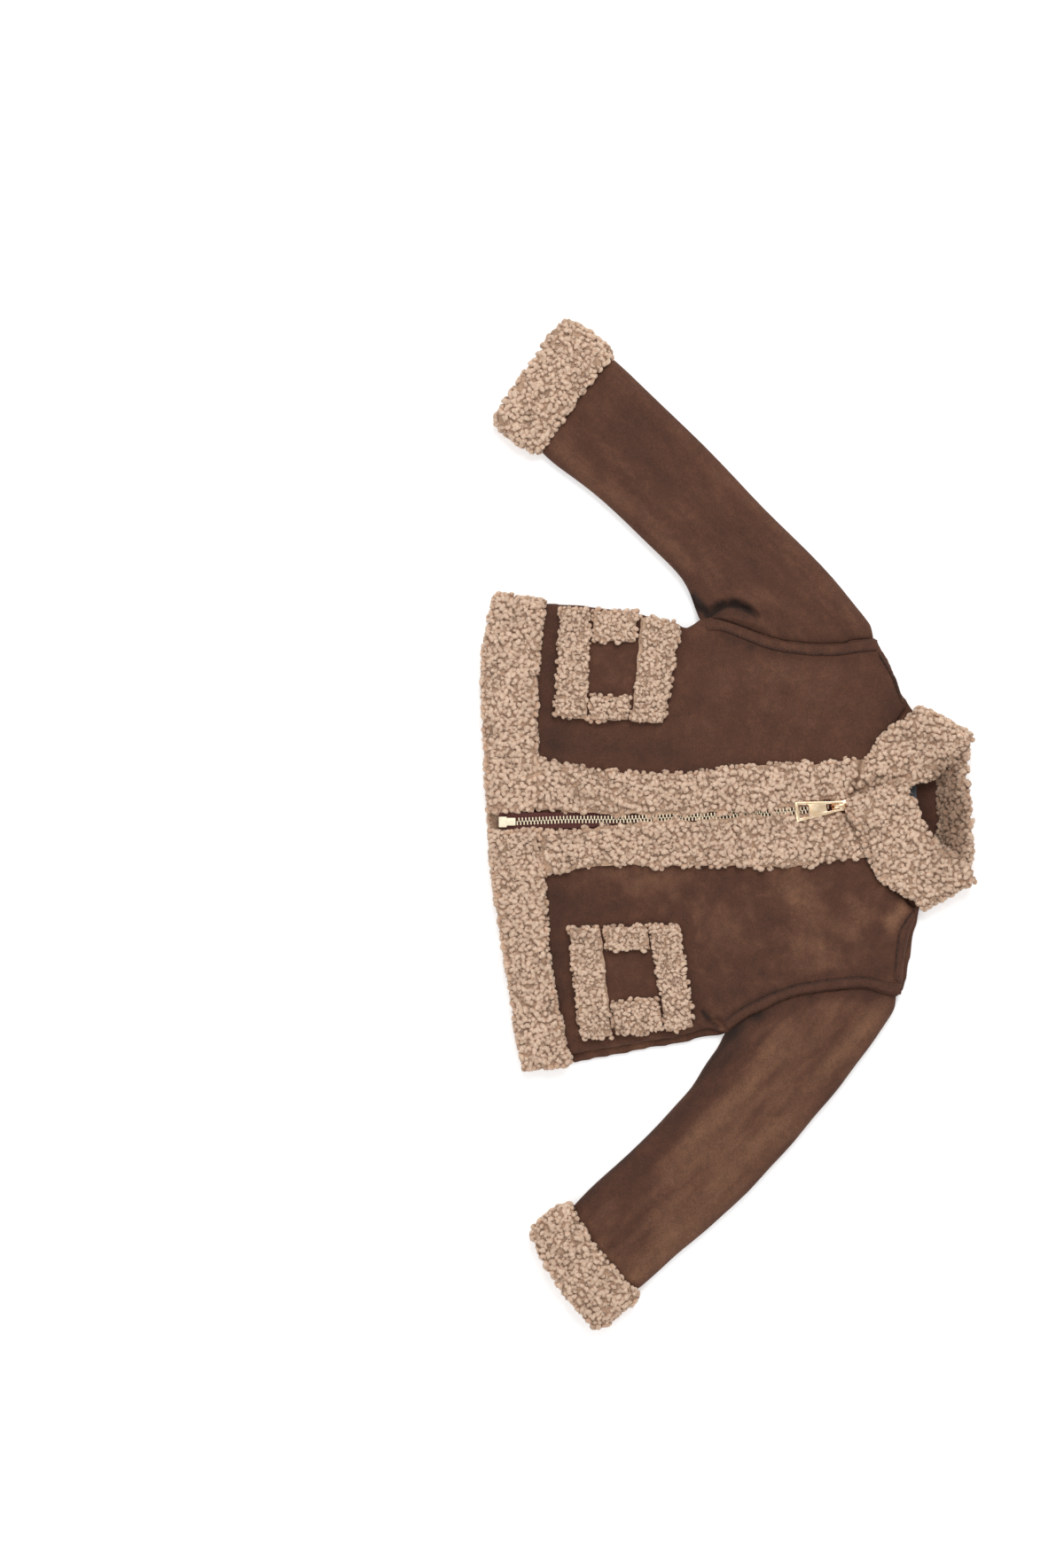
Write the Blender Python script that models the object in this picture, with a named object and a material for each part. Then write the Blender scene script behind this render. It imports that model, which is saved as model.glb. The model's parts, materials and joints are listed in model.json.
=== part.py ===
"""Toddler's shearling coat, zipped up and laid on its back.

X runs to the wearer's left, Y from the hem to the collar and Z up. The origin is on the
surface it lies on, in the middle of its outline. Sizes below are millimetres.
"""

import math

import bmesh
import bpy
import numpy as np
from mathutils import Vector

MM = 0.001
SEAM = 0.3  # air between two pieces that are sewn together
CLOTH = 5.0  # bonded suede and fleece, one layer
PILE = 4.2  # sherpa trim, from its backing to the tips of its curls
FRONT = CLOTH + SEAM  # underside of the two fronts
TRIM = FRONT + CLOTH + SEAM  # underside of what is sewn on the fronts
TRIM_TOP = TRIM + PILE
HEM_BACK = 6.0  # the hem band under the back is rolled, so it is thicker
SLEEVE_WALL = 5.5
CUFF_WALL = 7.4
COLLAR = 4.0  # half the thickness of the collar, which is pile on both faces
ARMHOLE_GAP = 0.7
NECK_GAP = 1.3  # from the fronts to the middle of the collar's base
HEM_GAP = 0.5

# Middle of the zip's chain, as (y, x): it wanders a little between the pile of the two plackets.
CHAIN_X = [(-165, -2), (-139, -3), (-114, -4), (-77, -4), (-52, -5), (-15, -6), (11, -8.5), (26, -8.5),
           (46, -10), (70, -12), (92, -13)]
CHAIN_WIDTH = 5.5
CHAIN_ENDS = (-149.6, 69.2)
TAPE = 1.0
TAPE_START = -162
TAPE_GAP = 0.4  # from the tape's edge to the pile beside it
CHAIN_BASE = TRIM + TAPE + SEAM
CHAIN_HIGH = 2.2
BOX_SIZE, BOX_Y = (7.4, 5.6, 2.9), -159
PIN_SIZE, PIN_Y = (5.4, 7.0, 2.5), -153.6
SLIDER_PLAN = (8.4, 12.0)
SLIDER_TOP = 15.2
PIVOT = (-13.6, 77.4, 17.2)
PULL_TURN = 8.0  # degrees, the tab lies askew
PULL_DROP = 2.4  # degrees, its free end rests on the pile
PULL_THICK = 1.4
# The tab's edge, its hole and its slot, from the hinge.
#                half width, y   half width, y   corner radius
PULL_OUTLINES = [(3.1, 1.5, 7.0, -32.3, 1.2),
                 (2.1, -1.5, 2.6, -10.6, 0.7),
                 (4.1, -22.6, 4.9, -30.0, 1.3)]
# Middle line of the slider's bridge, as y and z from the hinge.
BRIDGE = [
    (-6.0, -3.4), (-6.0, 0.4), (-5.0, 1.9), (-3.4, 2.45), (1.6, 2.45), (3.4, 1.7), (4.4, 0.0),
    (4.4, -3.4),
]
BRIDGE_WIDE, BRIDGE_THICK = 2.2, 0.9

# Seam between the hem band and the body, as (x, y), and the band's lower edge.
HEM_SEAM = [
    (-162, -127), (-143, -131), (-123, -132.5), (-104, -134.5), (-79, -135), (-50, -135), (-5, -134.5),
    (18, -132.5), (38, -129), (72, -127.5), (91, -126), (110, -123), (139, -117), (166, -110),
]
HEM_EDGE = [
    (-163, -165), (-149, -168), (-121, -173.2), (-99, -173.8), (-60, -172), (-29, -171), (-4, -170),
    (22, -168), (42, -165.5), (62, -163), (88, -158.5), (110, -155), (126, -152), (151, -149),
    (172, -144),
]

# The fronts, a row for each pair of points that face each other: outer edge x and y, centre front y.
RIGHT_FRONT = [
    (-154, -129, -134.5), (-152, -106, -114), (-149, -83, -93), (-144, -54, -72), (-139.5, -36, -52),
    (-137, -29.5, -36), (-143.5, -20.5, -20), (-145.4, -8.5, -5), (-138, 13, 10), (-131, 31, 25),
    (-128, 50, 40), (-127, 75, 54), (-130, 100, 65), (-115, 110, 74), (-101, 116, 81),
    (-85.8, 123.6, 85.2),
]
LEFT_FRONT = [
    (157.5, -112.5, -134.5), (154, -95.5, -114), (151.2, -77, -93), (147, -49, -72), (143.5, -28, -52),
    (141.5, -13, -36), (145.5, -2, -20), (136, 10, -5), (129, 25, 10), (121, 42, 25), (117, 62, 40),
    (115, 80, 54), (114, 97, 65), (118, 117, 74), (92, 121, 80), (60.8, 125, 85.2),
]
BACK_LEFT = [
    (164, -111), (160.5, -96), (157, -77), (152, -49), (149, -28.5), (146.8, -14), (145.5, -2),
    (136, 10), (129, 25), (121, 42), (117, 62), (115, 80), (114, 97), (116, 119), (92, 125), (61, 128),
]
ARMPIT, SHOULDER_RIGHT, SHOULDER_LEFT = 6, 12, 13  # rows of these tables where the armhole starts and ends
NECK_RIGHT = [
    (-85, 124.6), (-78, 119.5), (-70, 112), (-62, 104.5), (-56, 99), (-48, 95.5), (-40, 92.5),
    (-27, 90), (-12, 86.5),
]
NECK_LEFT = [
    (60, 126), (51, 118.5), (44, 110), (38, 103.5), (31, 99), (22, 94.5), (13, 91), (4, 88),
    (-12, 86.5),
]
BACK_NECK = [
    (-85, 124.6), (-77, 125.4), (-71, 131), (-64, 135.2), (-52, 138.2), (-34, 140.8), (-12, 141.6),
    (12, 140.4), (32, 138), (44, 135.2), (50, 130.4), (53, 127.6), (61, 128),
]

# Soft folds in the fronts, each a line with its width and height.
#               start x, y   end x, y    width  height
FRONT_FOLDS = [(131, -13, 110, -2, 6, -1.0),
               (116, 0, 96, 14, 7, 1.0),
               (90, 91, 60, 99, 8, 0.9),
               (70, 20, 84, 74, 16, 0.8),
               (-98, 96, -78, 102, 8, 0.7),
               (-106, 30, -80, -6, 15, 0.7)]

# Sleeves and cuffs, a row for each section from the armhole to the hand.
#                outer x, y   inner x, y  height
RIGHT_SLEEVE = [(-130, 100, -147, -13, 11.6), (-147, 91, -154, -24, 13.6), (-164, 79, -163, -27, 14.6),
                (-181, 64, -173, -32, 14.4), (-200, 45, -184, -42, 14.0), (-221, 23, -197, -56, 13.6),
                (-243, 3, -212, -71, 13.2), (-265, -18, -228, -88, 13.0), (-287, -41, -240, -103, 12.6),
                (-307, -62, -250, -117, 12.4), (-326, -81, -260, -131, 12.4)]
LEFT_SLEEVE = [(118, 117, 145, -3, 11.6), (131, 112, 153, -6, 13.6), (146, 102, 162, -13, 14.6),
               (162, 90, 172, -20, 14.4), (180, 77, 184, -26, 14.0), (200, 60, 195, -37, 13.8),
               (222, 42, 209, -49, 13.4), (244, 22, 224, -64, 13.2), (266, 1, 238, -79, 12.8),
               (287, -24, 249, -92, 12.6), (307, -46, 258, -101, 12.4), (324, -64, 265, -109, 12.4)]
RIGHT_CUFF = [
    (-328.7, -79.6, -258.2, -133, 17.4), (-339, -90, -264, -145, 18.4), (-348, -101, -272, -156, 18.2),
    (-354, -112, -280, -165, 16.6),
]
LEFT_CUFF = [
    (327.8, -61.7, 262.6, -111.4, 17.4), (338, -72, 268, -122, 18.4), (347, -83, 276, -133, 18.2),
    (354, -93, 285, -141, 16.6),
]
HEM_CORNERS = (-163, -157.5, 171.5, 165.5)  # x of the band's right corners, then of its left ones
HEM_TUCK = 1.0  # how far the back's band stays inside the fronts' ones
CUFF_BOW = {"right": 1.0, "left": 4.5}  # how far the cuff seam bows towards the hand

# Rounded side of a flattened tube: how far in from its edge, and how high as a share of its height.
TUBE_SIDE = [(4.2, 0.0), (1.3, 0.14), (0.0, 0.42), (0.9, 0.74), (4.0, 0.96)]

# Collar, a row for each section round the neck: the middle of its base, then the middle of its top edge.
#               base x, y, z      top x, y, z
RIGHT_WING = [
    (-19, 89.5, 9.8, -23, 120, 11.4), (-27, 90.8, 9.8, -26, 125, 12.2),
    (-37, 92.9, 9.8, -28, 131, 13.4), (-47, 96.2, 9.8, -31, 139, 15.4),
    (-56, 100.5, 10.2, -35, 146, 17.8), (-64, 107.5, 11.4, -41, 153, 19.6),
    (-72, 116, 13.0, -48, 160, 20.4),
]
RIGHT_FOLD = (-77, 127, 9.6, -56.5, 167.5, 14.8)
BACK_WING = [
    (-68, 135.5, 4.4, -47, 168, 12.6), (-52, 139.4, 4.4, -38, 168, 20.0),
    (-34, 142, 4.4, -28, 167.5, 26.5), (-12, 142.8, 4.4, -13, 168.5, 30.5),
    (12, 141.6, 4.4, 3, 170.5, 29.0), (32, 139, 4.4, 14, 172.5, 21.0),
    (47, 135.5, 4.4, 23, 173.7, 12.6),
]
LEFT_FOLD = (53, 129.5, 9.6, 33.5, 171.5, 14.8)
LEFT_WING = [
    (49.5, 120, 14.0, 27.5, 168, 20.4), (43.5, 111.5, 12.4, 20, 157.5, 20.2),
    (36, 103.8, 11.4, 14, 148.5, 19.6), (27, 98.4, 11.2, 8, 140, 19.0), (17, 94, 12.2, -1, 136, 19.0),
    (7, 90.5, 15.0, -10, 132, 19.6), (-3, 87.8, 19.2, -19, 127.5, 20.8),
    (-11, 85.9, 20.6, -27, 122.5, 21.4), (-16, 84.9, 20.8, -33, 117.5, 21.4),
]
FOLD_RADIUS = 4.9

# Plackets, a row for each pair of points: y, then x of the right one's edges and of the left one's.
PLACKET = [(-134.2, -48, -9.5, 3.2, 37), (-106, -42, -9.2, 2.6, 32), (-85, -39, -8.4, 0.6, 30),
           (-72, -38, -7.7, -0.6, 29), (-50, -38, -8.4, -1.7, 31), (-24, -38, -9.2, -2.3, 29),
           (2, -42, -10.8, -4.4, 30), (23, -43, -12.0, -5.4, 30.5), (46, -44, -13.6, -6.6, 30.5),
           (60, -44.5, -15.2, -8.0, 28.5), (69, -45, -19.0, -8.1, 27), (81, -46.5, -19.0, -8.1, 25.5)]
PLACKET_END = [(-47.5, 93.4), (-19.0, 87.4), (-8.1, 83.6), (24.5, 94.2)]

# Pocket trims, a row for each strip with the corners of its outline in turn: x, y four times.
POCKETS = {
    "right": {"hem": (-151, -119, -150, -97.4, -72.5, -99.4, -76, -123.5),
              "collar": (-145.5, -63.2, -141, -34, -70, -46, -71.5, -70.4),
              "side": (-149.6, -96.8, -148.6, -63.8, -126, -65.8, -127.6, -96.2),
              "centre": (-91.6, -98.4, -90, -69.2, -72, -70.9, -72.6, -98.8)},
    "left": {"hem": (71, -114, 70.4, -90, 145.6, -81.6, 148.4, -105),
             "collar": (68.6, -57, 69.4, -35, 140.4, -25, 143, -45.6),
             "side": (122.4, -83.4, 120, -49.8, 142.6, -46.4, 145, -81.1),
             "centre": (70.6, -89.4, 69, -57.4, 88, -54.8, 88, -87.6)},
}
PATCH = 1.6
PATCH_INSET = 1.5
FACING = 1.2
LABEL = (-30, -16.5, 121.5, 131)  # its edges: x, x, y, y
LABEL_THICK = 0.8

SUEDE = (0.110, 0.052, 0.031)
SHERPA = (0.58, 0.42, 0.29)
GOLD = (0.80, 0.55, 0.28)


def clear_scene():
    for old in list(bpy.data.objects):
        bpy.data.objects.remove(old, do_unlink=True)


def finish(name, colour, roughness, metallic=0.0):
    made = bpy.data.materials.new(name)
    made.use_nodes = True
    shader = made.node_tree.nodes["Principled BSDF"]
    shader.inputs["Base Color"].default_value = (*colour, 1.0)
    shader.inputs["Roughness"].default_value = roughness
    shader.inputs["Metallic"].default_value = metallic
    return made


def keep(bm, name, look):
    """Makes a mesh in millimetres a piece of the coat, shaded smooth."""
    bmesh.ops.recalc_face_normals(bm, faces=bm.faces)
    bmesh.ops.scale(bm, vec=(MM, MM, MM), verts=bm.verts)
    mesh = bpy.data.meshes.new(name)
    bm.to_mesh(mesh)
    bm.free()
    mesh.materials.append(look)
    mesh.shade_smooth()
    mesh.set_sharp_from_angle(angle=math.radians(40))
    made = bpy.data.objects.new(name, mesh)
    coat.objects.link(made)
    return made


def fair(table, at):
    """The second column of a table at one value of the first, along a smooth curve."""
    places, values = np.transpose(table)
    slopes = np.gradient(values, places)
    i = int(np.clip(np.searchsorted(places, at) - 1, 0, len(places) - 2))
    step = places[i + 1] - places[i]
    t = (at - places[i]) / step
    ease = t * t * (3 - 2 * t)
    bend = step * t * (1 - t) * ((1 - t) * slopes[i] - t * slopes[i + 1])
    return float(values[i] + ease * (values[i + 1] - values[i]) + bend)


def smooth_rows(table, steps):
    """The rows of a table with further rows between them, on a Catmull-Rom curve in every column."""
    rows = np.array(table, dtype=float)
    padded = np.vstack([2 * rows[0] - rows[1], rows, 2 * rows[-1] - rows[-2]])
    found = []
    for before, start, end, after in zip(padded, padded[1:], padded[2:], padded[3:]):
        for t in np.arange(steps) / steps:
            line = 2 * start + (end - before) * t
            curve = (2 * before - 5 * start + 4 * end - after) * t**2
            twist = (3 * start - before - 3 * end + after) * t**3
            found.append(0.5 * (line + curve + twist))
    return np.vstack([found, rows[-1]])


def evenly(points, count):
    """Points at even distances along a line of points."""
    line = np.array(points, dtype=float)
    far = np.concatenate([[0], np.cumsum(np.linalg.norm(np.diff(line, axis=0), axis=1))])
    at = np.linspace(0, far[-1], count)
    return np.column_stack([np.interp(at, far, column) for column in line.T])


def beside(line, distance):
    """A line of plan points moved sideways, to its left where distance is positive."""
    line = np.array(line, dtype=float)
    heading = np.gradient(line, axis=0)
    heading /= np.linalg.norm(heading, axis=1)[:, None]
    return line + distance * np.column_stack([-heading[:, 1], heading[:, 0]])


def trimmed(line, start, stop, count):
    """Points along a line of points, with a length taken off each end."""
    fine = evenly(line, 200)
    length = np.linalg.norm(np.diff(fine, axis=0), axis=1).sum()
    first, last = round(199 * start / length), 199 - round(199 * stop / length)
    return evenly(fine[first:last + 1], count)


def patch(left, right, columns, first=None, last=None):
    """A grid of plan points between two edges, whose first and last rows may be curves (a Coons patch)."""
    left, right = np.array(left, dtype=float), np.array(right, dtype=float)
    across = np.linspace(0, 1, columns)[None, :, None]
    up = np.linspace(0, 1, len(left))[:, None, None]
    ruled = left[:, None] * (1 - across) + right[:, None] * across
    grid = ruled.copy()
    for curve, row, share in ((first, 0, 1 - up), (last, -1, up)):
        if curve is not None:
            bow = (evenly(curve, columns) - ruled[row])[None]
            grid += share * (bow - bow[:, :1] * (1 - across) - bow[:, -1:] * across)
    return grid


def quad(corners, rows, columns):
    """A grid of plan points in a four-cornered outline, given as x, y four times round it."""
    a, b, c, d = np.array(corners, dtype=float).reshape(4, 2)
    return patch(np.linspace(a, d, rows), np.linspace(b, c, rows), columns)


def laid(name, grid, under, thick, soft, look, segments=2):
    """Cloth laid flat on a grid of plan points: its lower face at under, its upper rim softened."""
    bm = bmesh.new()
    rows = [[bm.verts.new((x, y, under)) for x, y in row] for row in grid]
    for near, far in zip(rows, rows[1:]):
        for i in range(len(near) - 1):
            bm.faces.new((near[i], near[i + 1], far[i + 1], far[i]))
    raised = bmesh.ops.extrude_face_region(bm, geom=bm.faces[:])["geom"]
    top = {v for v in raised if isinstance(v, bmesh.types.BMVert)}
    for vert in top:
        vert.co.z += thick(vert.co.x, vert.co.y) if callable(thick) else thick
    upper = [e for e in bm.edges if set(e.verts) <= top]
    rim = [e for e in upper if not all(set(f.verts) <= top for f in e.link_faces)]
    bmesh.ops.bevel(bm, geom=rim, offset=soft, offset_type="OFFSET", segments=segments, profile=0.5,
                    affect="EDGES", clamp_overlap=True, material=-1)
    return keep(bm, name, look)


def loft(name, rings, look, ring_on=False):
    """A solid through sections of equal count, with flat ends, or with ring_on joined end to start."""
    bm = bmesh.new()
    made = [[bm.verts.new(point) for point in ring] for ring in rings]
    if ring_on:
        made.append(made[0])
    else:
        bm.faces.new(made[0])
        bm.faces.new(made[-1])
    for near, far in zip(made, made[1:]):
        for i in range(len(near)):
            j = (i + 1) % len(near)
            bm.faces.new((near[i], near[j], far[j], far[i]))
    return keep(bm, name, look)


def front_height(x, y):
    """Thickness of a front with its soft folds, which run out before anything that is sewn on it."""
    height = CLOTH
    for start_x, start_y, end_x, end_y, width, depth in FRONT_FOLDS:
        run = Vector((end_x - start_x, end_y - start_y))
        off = Vector((x - start_x, y - start_y))
        share = min(max(off.dot(run) / run.length_squared, 0.0), 1.0)
        height += depth * math.exp(-(((off - run * share).length / width) ** 2))
    return height


def tube_ring(row, bow, inset):
    """One section of a flattened tube between its two edges, at a distance inside its outer face."""
    outer, inner, height = np.array(row[:2]), np.array(row[2:4]), row[4]
    width = np.linalg.norm(inner - outer)
    side = [((inset + inward * (1 - inset / 8)) / width, inset + share * (height - 2 * inset))
            for inward, share in TUBE_SIDE]
    flat = np.linspace(side[0][0], 1 - side[0][0], 15)[1:-1]
    crown = [(u, height - inset + 0.8 * math.sin(math.pi * u)) for u in flat]
    around = side + crown + [(1 - u, z) for u, z in reversed(side)] + [(u, inset) for u in reversed(flat)]
    points = []
    for u, z in around:
        x, y = outer + u * (inner - outer) + bow(u)
        points.append((x, y, z))
    return points


def tube(name, rows, bows, wall, look):
    """A flattened tube of cloth with open ends, its wall the same all round."""
    outside = [tube_ring(row, bow, 0.0) for row, bow in zip(rows, bows)]
    inside = [tube_ring(row, bow, wall) for row, bow in zip(rows, bows)]
    return loft(name, outside + inside[::-1], look, ring_on=True)


def collar_section(row, heading):
    """The rounded section of the collar, from the middle of its base to the middle of its top edge."""
    base, top = Vector(row[:3]), Vector(row[3:])
    rise = top - base
    length = rise.length
    rise.normalize()
    face = heading.cross(rise).normalized()
    side = [(0.0, 0.8 * COLLAR), (1.0, COLLAR), (0.35 * length, COLLAR), (0.7 * length, COLLAR),
            (length - 3.4, COLLAR), (length - 0.9, 0.62 * COLLAR)]
    outline = side + [(length, 0.0)] + [(up, -out) for up, out in reversed(side)]
    return [base + rise * up + face * out for up, out in outline]


def fold_rows(centre, wearer_side):
    """Rows for the turn at one side of the collar, from its upper layer round to its lower one."""
    base, top = Vector(centre[:3]), Vector(centre[3:])
    rise = (top - base).to_2d().normalized()
    outward = wearer_side * Vector((rise.y, -rise.x, 0))
    rows = []
    for angle in (90, 60, 30, 0, -30, -60, -90):
        turn = math.radians(angle)
        shift = FOLD_RADIUS * (outward * math.cos(turn) + Vector((0, 0, math.sin(turn))))
        rows.append((*(base + shift), *(top + shift)))
    return rows


def rounded(corners, radius, steps=4):
    """An outline with round corners, as a list of plan points."""
    points = []
    for before, corner, after in zip(corners[-1:] + corners[:-1], corners, corners[1:] + corners[:1]):
        here = Vector(corner)
        start = here + (Vector(before) - here).normalized() * radius
        end = here + (Vector(after) - here).normalized() * radius
        points += [start.lerp(here, t).lerp(here.lerp(end, t), t) for t in np.linspace(0, 1, steps)]
    return points


def above_hem(start, end):
    """The lower edge of what is sewn to the hem band, between two places across the jacket."""
    return [(x, fair(HEM_SEAM, x) + HEM_GAP / 2) for x in np.linspace(start, end, 40)]


def softened_block(name, size, place, soft, narrow=1.0):
    """A small cast block standing on its place, its -Y end narrowed, as a cutter or a piece to join."""
    bm = bmesh.new()
    bmesh.ops.create_cube(bm, size=1.0)
    bmesh.ops.scale(bm, vec=size, verts=bm.verts)
    for vert in bm.verts:
        if vert.co.y < 0:
            vert.co.x *= narrow
    bmesh.ops.bevel(bm, geom=bm.edges[:], offset=soft, offset_type="OFFSET", segments=2, profile=0.5,
                    affect="EDGES", clamp_overlap=True, material=-1)
    bmesh.ops.translate(bm, vec=Vector(place) + Vector((0, 0, size[2] / 2)), verts=bm.verts)
    return keep(bm, name, gold)


def join_to(piece, other):
    """Makes two overlapping shapes one solid and hides the second."""
    union = piece.modifiers.new("join_" + other.name, "BOOLEAN")
    union.operation = "UNION"
    union.object = other
    coat.objects.unlink(other)
    cutters.objects.link(other)
    other.hide_render = True
    other.display_type = "WIRE"


clear_scene()
coat = bpy.data.collections.new("shearling_coat")
cutters = bpy.data.collections.new("joined_shapes")
for collection in (coat, cutters):
    bpy.context.scene.collection.children.link(collection)
suede = finish("suede", SUEDE, 0.92)
sherpa = finish("sherpa", SHERPA, 0.97)
tape_cloth = finish("zip_tape", (0.09, 0.03, 0.022), 0.85)
gold = finish("zip_metal", GOLD, 0.28, 1.0)
label_cloth = finish("neck_label", (0.06, 0.065, 0.07), 0.8)

# Fronts and back. The fronts meet at the middle of the zip, and their armhole edges carry the sleeves.
right_rows = smooth_rows(RIGHT_FRONT, 2)
left_rows = smooth_rows(LEFT_FRONT, 2)
back_left = smooth_rows(BACK_LEFT, 2)
for side, rows, neck, sign in (("right", right_rows, NECK_RIGHT, -1), ("left", left_rows, NECK_LEFT, 1)):
    edge = rows[:, :2]
    middle = np.array([(fair(CHAIN_X, y) + sign * SEAM / 2, y) for y in rows[:, 2]])
    low = above_hem(edge[0, 0], middle[0, 0])
    edge[0], middle[0] = low[0], low[-1]
    grid = patch(edge, middle, 8, low, beside(neck, sign * NECK_GAP))
    laid("front_" + side, grid, FRONT, front_height, 3.0, suede)
low = above_hem(right_rows[0, 0], back_left[0, 0])
back_left[0] = low[-1]
laid("back", patch(right_rows[:, :2], back_left, 18, low, BACK_NECK), 0.0, CLOTH, 1.5, suede)

# Raised seams: the turned-in edge of the armhole and of the shoulder, sewn down beside the seam.
armholes = {"right": right_rows[2 * ARMPIT:2 * SHOULDER_RIGHT + 1, :2],
            "left": left_rows[2 * ARMPIT:2 * SHOULDER_LEFT + 1, :2]}
shoulders = {"right": right_rows[2 * SHOULDER_RIGHT:, :2], "left": left_rows[2 * SHOULDER_LEFT:, :2]}
for side, sign in (("right", -1), ("left", 1)):
    for name, line, wide, high, start, stop, count in (
        ("armhole_seam_", armholes[side], 8.4, 1.7, 2.0, 1.0, 16),
        ("shoulder_seam_", shoulders[side], 6.0, 1.2, 9.5, 7.0, 6),
    ):
        near = trimmed(beside(line, sign * 1.0), start, stop, count)
        far = trimmed(beside(line, sign * wide), start, stop, count)
        laid(name + side, patch(near, far, 3), TRIM, high, 1.1, suede)

# Sleeves and cuffs. The first section of a sleeve follows its armhole, and that curve fades out along it.
for side, rows, cuff_rows, sign in (
    ("right", RIGHT_SLEEVE, RIGHT_CUFF, -1), ("left", LEFT_SLEEVE, LEFT_CUFF, 1)
):
    armhole = beside(evenly(armholes[side][::-1], 40), sign * ARMHOLE_GAP)
    curve = armhole - np.linspace(armhole[0], armhole[-1], 40)
    rows = [(*armhole[0], *armhole[-1], rows[0][4])] + rows[1:]
    outer, inner = np.array(rows[-1][:2]), np.array(rows[-1][2:4])
    across = (outer - inner) / np.linalg.norm(outer - inner)
    hand = CUFF_BOW[side] * sign * np.array((across[1], -across[0]))

    def fading(weight, curve=curve):
        places = np.linspace(0, 1, len(curve))
        return lambda u: weight * np.array([np.interp(u, places, column) for column in curve.T])

    def bowed(weight, hand=hand):
        return lambda u: weight * 4 * u * (1 - u) * hand

    bows = [fading(1 - i / 4) for i in range(5)]
    bows += [bowed(max(0.0, 1 - i / 3)) for i in reversed(range(len(rows) - 5))]
    tube("sleeve_" + side, rows, bows, SLEEVE_WALL, suede)
    tube("cuff_" + side, cuff_rows, [bowed(1.0)] * len(cuff_rows), CUFF_WALL, sherpa)

# Hem band: rolled sherpa, one piece under the back and one under each front.
right_inner, left_inner = PLACKET[0][2:4]
for side, edge_start, edge_end, seam_start, seam_end in (
    ("right", HEM_CORNERS[0], right_inner, HEM_CORNERS[1], right_inner),
    ("left", left_inner, HEM_CORNERS[2], left_inner, HEM_CORNERS[3]),
):
    low = [(x, fair(HEM_EDGE, x)) for x in np.linspace(edge_start, edge_end, 11)]
    high = [(x, fair(HEM_SEAM, x) - HEM_GAP / 2) for x in np.linspace(seam_start, seam_end, 11)]
    under = HEM_BACK + SEAM
    laid("hem_band_" + side, patch(low, high, 4), under, TRIM_TOP - under, 3.8, sherpa, 3)
first, seam_first, last, seam_last = HEM_CORNERS
low = [(x, fair(HEM_EDGE, x) + HEM_TUCK) for x in np.linspace(first + HEM_TUCK, last - HEM_TUCK, 20)]
places = np.linspace(seam_first + HEM_TUCK, seam_last - HEM_TUCK, 20)
high = [(x, fair(HEM_SEAM, x) - HEM_GAP / 2) for x in places]
laid("hem_band_back", patch(low, high, 4), 0.0, HEM_BACK, 2.0, sherpa)

# Plackets, with the zip's two tapes between them, its closed chain, its slider and its pull tab.
for side, outer_column, inner_column, outer_end, inner_end in (("right", 1, 2, 0, 1), ("left", 4, 3, 3, 2)):
    outside = [(row[outer_column], row[0]) for row in PLACKET] + [PLACKET_END[outer_end]]
    inside = [(row[inner_column], row[0]) for row in PLACKET] + [PLACKET_END[inner_end]]
    start = above_hem(outside[0][0], inside[0][0])
    outside[0], inside[0] = start[0], start[-1]
    laid("placket_" + side, patch(outside, inside, 4, start), TRIM, PILE, 3.4, sherpa, 3)
for side, column, sign in (("right", 2, -1), ("left", 3, 1)):
    rows = [(TAPE_START, PLACKET[0][column])] + [(row[0], row[column]) for row in PLACKET]
    near = [(fair(CHAIN_X, y) + sign * SEAM / 2, y) for y, _ in rows]
    far = [(x - sign * TAPE_GAP, y) for y, x in rows]
    laid("zip_tape_" + side, patch(near, far, 2), TRIM, TAPE, 0.2, tape_cloth, 1)
places = np.linspace(*CHAIN_ENDS, 24)
chain = [(fair(CHAIN_X, y), y) for y in places]
strip = patch(beside(chain, CHAIN_WIDTH / 2), beside(chain, -CHAIN_WIDTH / 2), 2)
laid("zip_chain", strip, CHAIN_BASE, CHAIN_HIGH, 0.5, gold, 1)
box_x, pin_x = fair(CHAIN_X, BOX_Y), fair(CHAIN_X, PIN_Y)
zip_box = softened_block("zip_box", BOX_SIZE, (box_x, BOX_Y, CHAIN_BASE), 0.5)
join_to(zip_box, softened_block("zip_pin", PIN_SIZE, (pin_x, PIN_Y, CHAIN_BASE + 0.1), 0.4))

# The slider, in its own place about the hinge of the tab and then turned with it.
body_size = (*SLIDER_PLAN, SLIDER_TOP - CHAIN_BASE)
slider = softened_block("zip_slider", body_size, (0, -1.0, CHAIN_BASE - PIVOT[2]), 0.9, 0.8)
lower, upper = beside(BRIDGE, -BRIDGE_THICK / 2), beside(BRIDGE, BRIDGE_THICK / 2)
half = BRIDGE_WIDE / 2
bridge_rings = [
    [(-half, *low), (half, *low), (half, *high), (-half, *high)] for low, high in zip(lower, upper)
]
bridge = loft("slider_bridge", bridge_rings, gold)
join_to(slider, bridge)
for piece in (slider, bridge):
    piece.location = Vector(PIVOT) * MM
    piece.rotation_euler = (0, 0, math.radians(PULL_TURN))

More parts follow.
